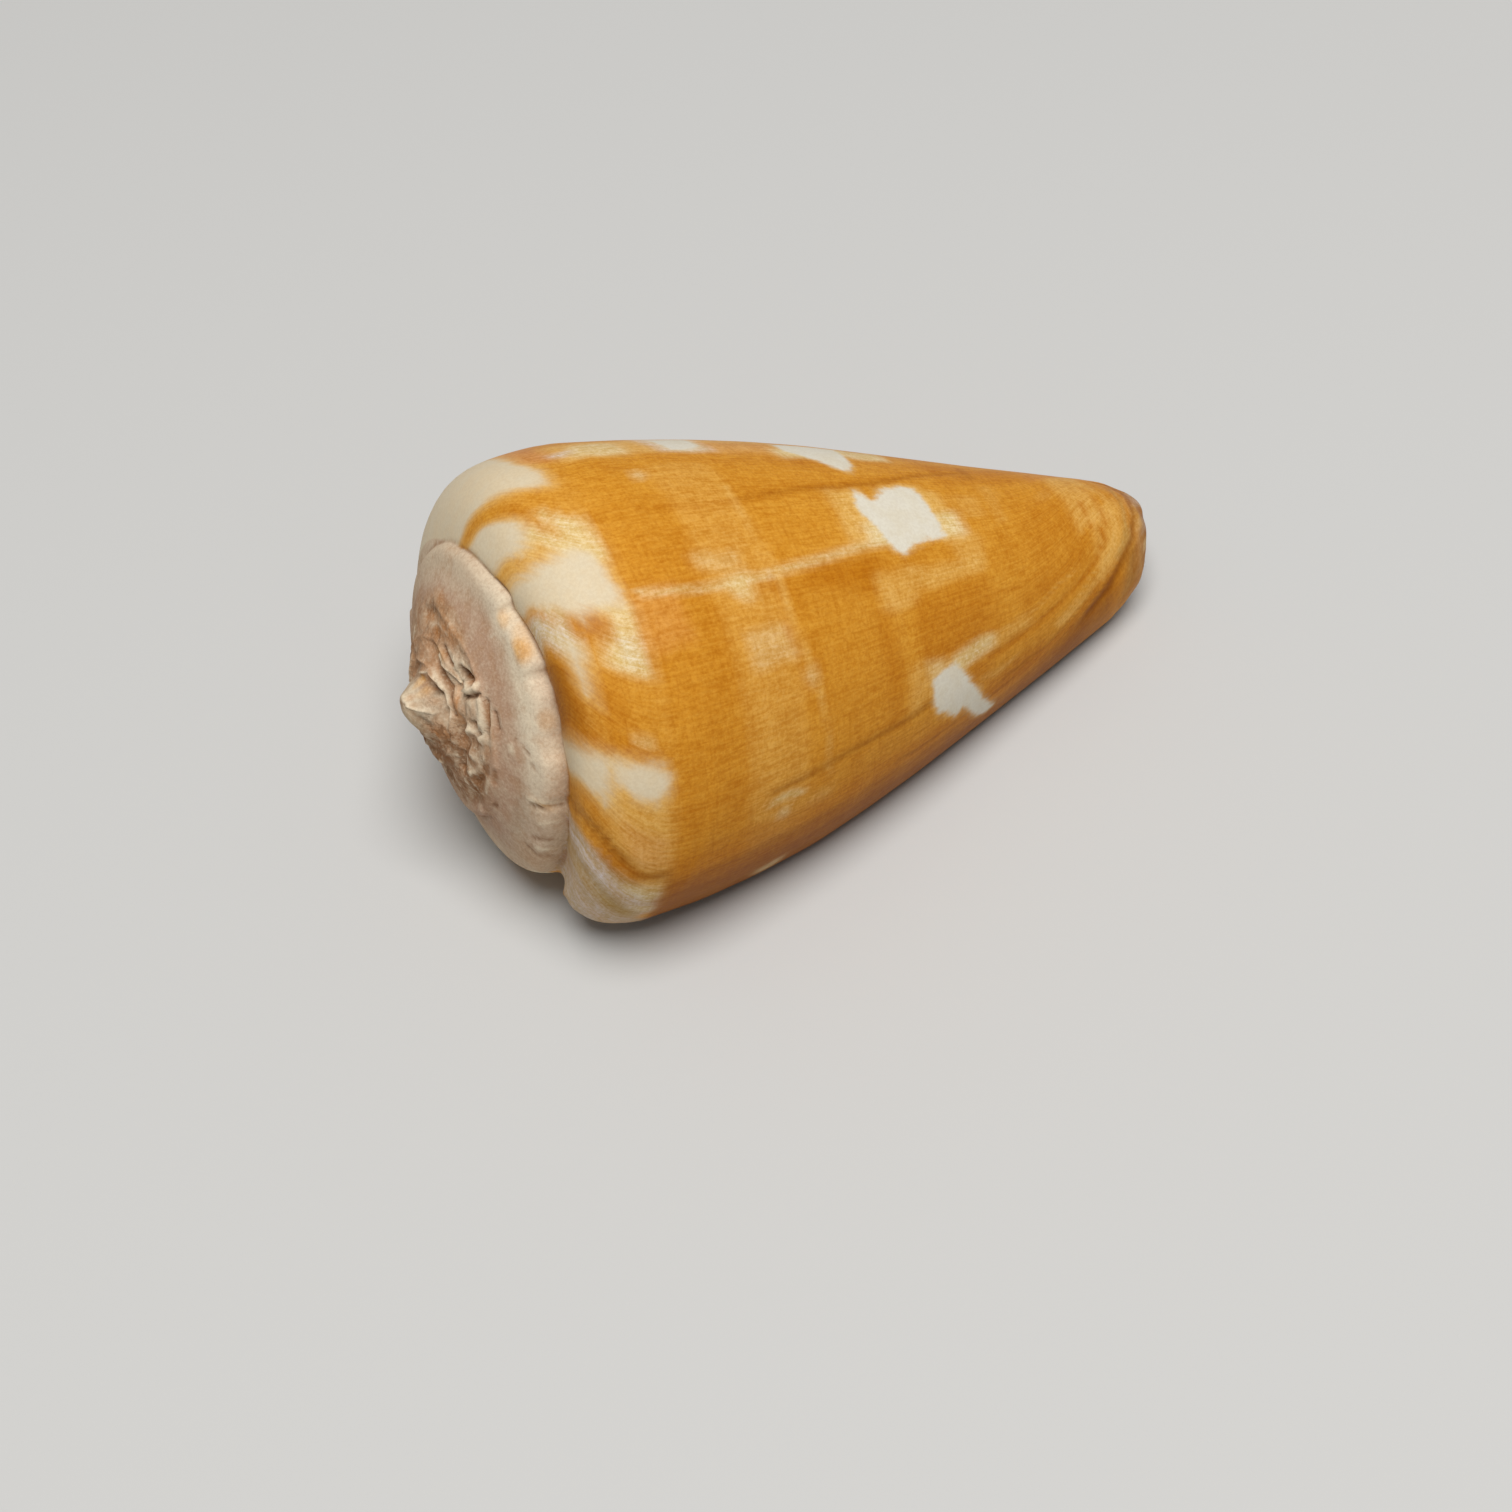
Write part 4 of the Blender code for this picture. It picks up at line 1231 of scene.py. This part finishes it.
# %% Noise on the growth map, and noise in space
GRAIN_PER_METRE = 1.0 / MM
MAP_WIDTH, MAP_HEIGHT = 40.0, 72.0  # the growth map in mm: the side's length, and round the side
growth_node = nodes.new("ShaderNodeUVMap")
growth_node.uv_map = "growth"
object_node = nodes.new("ShaderNodeTexCoord")


def even_noise(vector, scale, detail, rough):
    speckle = nodes.new("ShaderNodeTexNoise")
    links.new(vector, speckle.inputs["Vector"])
    speckle.inputs["Scale"].default_value = scale
    speckle.inputs["Detail"].default_value = detail
    speckle.inputs["Roughness"].default_value = rough
    return speckle.outputs["Fac"]


def stretched_noise(across_mm, growth_mm, detail, rough, seed):
    """Noise on the growth map, whose spots are this long across it and this long along growth."""
    placed = nodes.new("ShaderNodeMapping")
    links.new(growth_node.outputs["UV"], placed.inputs["Vector"])
    placed.inputs["Location"].default_value = (seed, seed * 1.7, seed)
    placed.inputs["Scale"].default_value = (MAP_WIDTH / across_mm, MAP_HEIGHT / growth_mm, 1.0)
    return even_noise(placed.outputs["Vector"], 1.0, detail, rough)


def solid_noise(size_mm, detail, rough):
    return even_noise(object_node.outputs["Object"], GRAIN_PER_METRE / size_mm, detail, rough)


print("the growth map stands for %.0f by %.0f mm" % (MAP_WIDTH, MAP_HEIGHT))

# %% [markdown]
# Three scales make up the look of the side: bands a few millimetres wide, hair-thin lines of growth with even
# finer threads across them, and a grain like that of paper. Round the front end the lines run the other way
# on the map, so another noise takes over there.

# %% Lines, threads and grain
TIP_LINES_START, TIP_LINES_FULL = 34.0, 37.0  # where the front end's own lines take over, as across
growth_lines = stretched_noise(2.8, 0.34, 4.0, 0.62, 3.0)
growth_bands = stretched_noise(14.0, 1.4, 2.0, 0.5, 11.0)
tip_lines = stretched_noise(0.50, 9.0, 3.0, 0.6, 41.0)
map_place = nodes.new("ShaderNodeSeparateXYZ")
links.new(growth_node.outputs["UV"], map_place.inputs["Vector"])
at_tip = spread(map_place.outputs["X"], TIP_LINES_START / MAP_WIDTH, TIP_LINES_FULL / MAP_WIDTH)
side_lines = worked("MULTIPLY", growth_lines, worked("SUBTRACT", 1.0, at_tip))
growth_lines = worked("ADD", side_lines, worked("MULTIPLY", tip_lines, at_tip))
threads = stretched_noise(0.34, 5.0, 2.0, 0.5, 5.0)
thread_bands = stretched_noise(1.3, 18.0, 2.0, 0.5, 17.0)
hair_lines = stretched_noise(1.1, 0.15, 2.0, 0.55, 57.0)
hair_threads = stretched_noise(0.16, 1.6, 2.0, 0.55, 71.0)
blotches = stretched_noise(3.0, 2.0, 4.0, 0.6, 23.0)
grain = solid_noise(0.16, 2.0, 0.6)
flecks = solid_noise(0.30, 3.0, 0.75)
mottle = solid_noise(1.1, 5.0, 0.65)
ragged = stretched_noise(0.8, 0.55, 4.0, 0.65, 31.0)
print("nodes with all the noises:", len(nodes))

# %% [markdown]
# The painted colour is the base. Each noise only makes it a little darker or paler, so no pattern stands out
# alone. Darker means more saturated here, as with orange paint laid on twice, and not simply nearer to black.

# %% Colour of the side
side = attribute_value("side_paint", "Color")
darker = mixed(1.0, side, colour(222, 196, 130), "MULTIPLY")
paler = mixed(1.0, side, (1.14, 1.30, 2.0), "MULTIPLY")
bands = worked("ADD", worked("MULTIPLY", growth_bands, 0.5), worked("MULTIPLY", thread_bands, 0.5))
SIDE_TINTS = [  # as noise, where the tint begins to show, where it is full, how strong it is, and the tint
    (bands, 0.48, 0.66, 0.32, paler),
    (bands, 0.52, 0.34, 0.34, darker),
    (growth_lines, 0.52, 0.32, 0.32, darker),
    (growth_lines, 0.52, 0.70, 0.34, paler),
    (threads, 0.50, 0.36, 0.14, darker),
    (blotches, 0.58, 0.74, 0.28, paler),
    (flecks, 0.50, 0.36, 0.38, darker),
    (flecks, 0.52, 0.66, 0.38, paler),
    (hair_lines, 0.50, 0.34, 0.30, darker),
    (hair_lines, 0.50, 0.66, 0.30, paler),
    (hair_threads, 0.50, 0.34, 0.20, darker),
    (grain, 0.50, 0.34, 0.14, darker),
    (grain, 0.50, 0.66, 0.14, paler),
]
for pattern, begins, full, strength, tint in SIDE_TINTS:
    side = mixed(spread(pattern, begins, full, 0.0, strength), side, tint)
print("tints on the side:", len(SIDE_TINTS))

# %% [markdown]
# A white mark is not cut out with a knife: its edge is frayed where the lines of growth cross it, and a thin
# cream stain runs along it. The distance kept on the points is shaken by noise before it is turned into white.

# %% White marks with ragged, softly stained edges
FRAYED = 0.62  # how far the edge is frayed, in mm, from one side to the other
EVEN_START, EVEN_END = 3.4, 5.0  # as across: nearer to the shoulder the marks' edges are a little softer
edge = worked("ADD", attribute_value("white"), worked("MULTIPLY", worked("SUBTRACT", ragged, 0.5), FRAYED))
softer = spread(map_place.outputs["X"], EVEN_START / MAP_WIDTH, EVEN_END / MAP_WIDTH, 0.55, 1.0)
edge = worked("MULTIPLY", edge, softer)
clean_white = attribute_value("white_paint", "Color")
stained_white = mixed(spread(mottle, 0.38, 0.66, 0.0, 0.45), clean_white, colour(214, 202, 176))
side = mixed(spread(edge, -0.45, 0.0, 0.0, 0.28), side, PALETTE["cream"])
side = mixed(spread(edge, -0.20, 0.20), side, stained_white)
print("nodes with the white marks:", len(nodes))

# %% [markdown]
# The worn spire is mottled rather than lined, with small brown pits where it is roughest. Mottling, flecks
# and grain are laid on one after the other, and then the pits and their pale rims.

# %% Colour of the spire
spire = attribute_value("spire_paint", "Color")
worn_share = attribute_value("worn")
pits = solid_noise(0.75, 4.0, 0.62)
pit_depth = worked("MULTIPLY", spread(pits, 0.52, 0.38), worn_share)
pit_rim = worked("MULTIPLY", spread(pits, 0.54, 0.66), worn_share)
fleck_share = worked("ADD", 0.30, worked("MULTIPLY", worn_share, 0.70))
SPIRE_TINTS = [
    (spread(mottle, 0.46, 0.66, 0.0, 0.35), "light"),
    (spread(mottle, 0.52, 0.34, 0.0, 0.35), "tan"),
    (worked("MULTIPLY", spread(flecks, 0.50, 0.34, 0.0, 0.30), fleck_share), "brown"),
    (worked("MULTIPLY", spread(flecks, 0.54, 0.68, 0.0, 0.34), fleck_share), "chalk"),
    (spread(grain, 0.50, 0.34, 0.0, 0.10), "brown"),
    (spread(grain, 0.50, 0.66, 0.0, 0.14), "chalk"),
    (worked("MULTIPLY", pit_depth, 0.75), "brown"),
    (worked("MULTIPLY", pit_rim, 0.55), "light"),
]
for tint_share, name in SPIRE_TINTS:
    spire = mixed(tint_share, spire, SPIRE_PALETTE[name])
print("tints on the spire:", len(SPIRE_TINTS))

# %% [markdown]
# Now side and spire meet. Along the suture runs a thin brown seam, where dirt has settled. The inside of the
# mouth is plain, pale and a little pink, and last of all the grain darkens everything by a touch.

# %% The suture, the mouth and all of it together
SEAM_BROWN = colour(140, 90, 50)
MOUTH_PALE, MOUTH_PINK = colour(232, 216, 192), colour(222, 190, 150)
GRAIN_SHADE = colour(124, 78, 30)
bleached_line = attribute_value("bleached")
suture_line = attribute_value("suture")
bleached_edge = worked("ADD", bleached_line, worked("MULTIPLY", worked("SUBTRACT", mottle, 0.5), 0.25))
outside = mixed(spread(bleached_edge, -0.06, 0.06), side, spire)
seam = worked("MULTIPLY", spread(suture_line, -0.12, 0.02), spread(suture_line, 0.20, 0.04))
seam = worked("MULTIPLY", seam, spread(blotches, 0.40, 0.60, 0.35, 1.0))
seam = worked("MULTIPLY", seam, spread(bleached_line, -4.0, -3.0))
outside = mixed(worked("MULTIPLY", seam, 0.62), outside, SEAM_BROWN)
mouth = mixed(spread(mottle, 0.4, 0.7), MOUTH_PALE, MOUTH_PINK)
body_colour = mixed(attribute_value("inside"), outside, mouth)
body_colour = mixed(spread(grain, 0.38, 0.62, 0.07, 0.0), body_colour, GRAIN_SHADE)
links.new(body_colour, shader.inputs["Base Color"])
print("nodes with all the colours:", len(nodes))

# %% [markdown]
# Lines that are only coloured look printed. The same noises therefore also press into the surface as bump,
# a few hundredths of a millimetre deep. The side has a soft sheen, while the bleached spire is nearly dull.

# %% Relief and gloss
LINE_RELIEF, THREAD_RELIEF, GRAIN_RELIEF = 0.7, 0.35, 0.45  # how much each noise counts everywhere
MOTTLE_RELIEF, FLECK_RELIEF, PIT_RELIEF = 2.4, 0.8, 5.0  # and how much more on the spire
relief_all = worked("MULTIPLY", growth_lines, LINE_RELIEF)
relief_all = worked("ADD", relief_all, worked("MULTIPLY", threads, THREAD_RELIEF))
relief_all = worked("ADD", relief_all, worked("MULTIPLY", grain, GRAIN_RELIEF))
crags = worked("ADD", worked("MULTIPLY", mottle, MOTTLE_RELIEF), worked("MULTIPLY", flecks, FLECK_RELIEF))
rough_spire = worked("MULTIPLY", spread(bleached_edge, -0.05, 0.3), crags)
rough_spire = worked("SUBTRACT", rough_spire, worked("MULTIPLY", pit_depth, PIT_RELIEF))
bump = nodes.new("ShaderNodeBump")
links.new(worked("ADD", relief_all, rough_spire), bump.inputs["Height"])
bump.inputs["Strength"].default_value = 0.35
bump.inputs["Distance"].default_value = 0.06 * MM
links.new(bump.outputs["Normal"], shader.inputs["Normal"])
links.new(spread(bleached_edge, -0.2, 0.2, 0.40, 0.68), shader.inputs["Roughness"])
mesh.materials.clear()
mesh.materials.append(shell_finish)
print("nodes in the shell's material:", len(nodes))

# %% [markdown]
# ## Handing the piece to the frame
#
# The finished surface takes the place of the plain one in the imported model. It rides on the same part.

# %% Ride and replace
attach(surface, "root")
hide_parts("shell")
print("shell_surface rides on root and takes the place of the plain shell")

# %% [markdown]
# ## Table, light and camera
#
# A shell needs something to lie on, and a plain pale table shows its outline and its shadow from every side.
# The table is staging only and no part of the shell.

# %% Table
bpy.ops.object.select_all(action="DESELECT")
bpy.ops.mesh.primitive_plane_add(size=2.0, location=(0.0, 0.0, 0.0))
table = bpy.context.object
table.name = "table"
table_finish = bpy.data.materials.new("table_finish")
table_finish.use_nodes = True
table_shader = table_finish.node_tree.nodes["Principled BSDF"]
table_shader.inputs["Base Color"].default_value = (0.55, 0.545, 0.53, 1.0)
table_shader.inputs["Roughness"].default_value = 0.9
table.data.materials.append(table_finish)
print("on the stage:", table.name)

# %% [markdown]
# The light in the photograph is soft and comes from above and in front, and hardly any highlight shows. One
# large round lamp gives that, with a dim and even room to fill the shadows.

# %% Light
room = bpy.data.worlds.new("room")
bpy.context.scene.world = room
room.use_nodes = True
room.node_tree.nodes["Background"].inputs["Color"].default_value = (1.0, 0.99, 0.97, 1.0)
room.node_tree.nodes["Background"].inputs["Strength"].default_value = 0.22
bpy.context.scene.view_settings.view_transform = "Standard"


def soft_box(name, place, size, power):
    light = bpy.data.lights.new(name, "AREA")
    light.shape = "DISK"
    light.size = size
    light.energy = power
    holder = bpy.data.objects.new(name, light)
    bpy.context.scene.collection.objects.link(holder)
    holder.location = place
    holder.rotation_euler = (-Vector(place)).to_track_quat("-Z", "Y").to_euler()


soft_box("window", (-0.02, -0.16, 0.62), 0.40, 4.3)
print("lamps:", len(bpy.data.lights))

# %% [markdown]
# The camera looks down at the shell at about fifty degrees from the spire's side, as in the photograph. Its
# place, angles and lens were matched to the shell's outline there.

# %% Camera
camera = bpy.data.cameras.new("camera")
camera.sensor_width = 36.0
camera.lens = 61.8
camera.clip_start = 0.01
eye = bpy.data.objects.new("camera", camera)
bpy.context.scene.collection.objects.link(eye)
eye.location = (-0.0372, -0.0888, 0.1087)
eye.rotation_euler = [math.radians(degrees) for degrees in (40.64, 4.49, -26.02)]
bpy.context.scene.camera = eye
print("camera %.0f mm above the table" % (eye.location.z / MM))
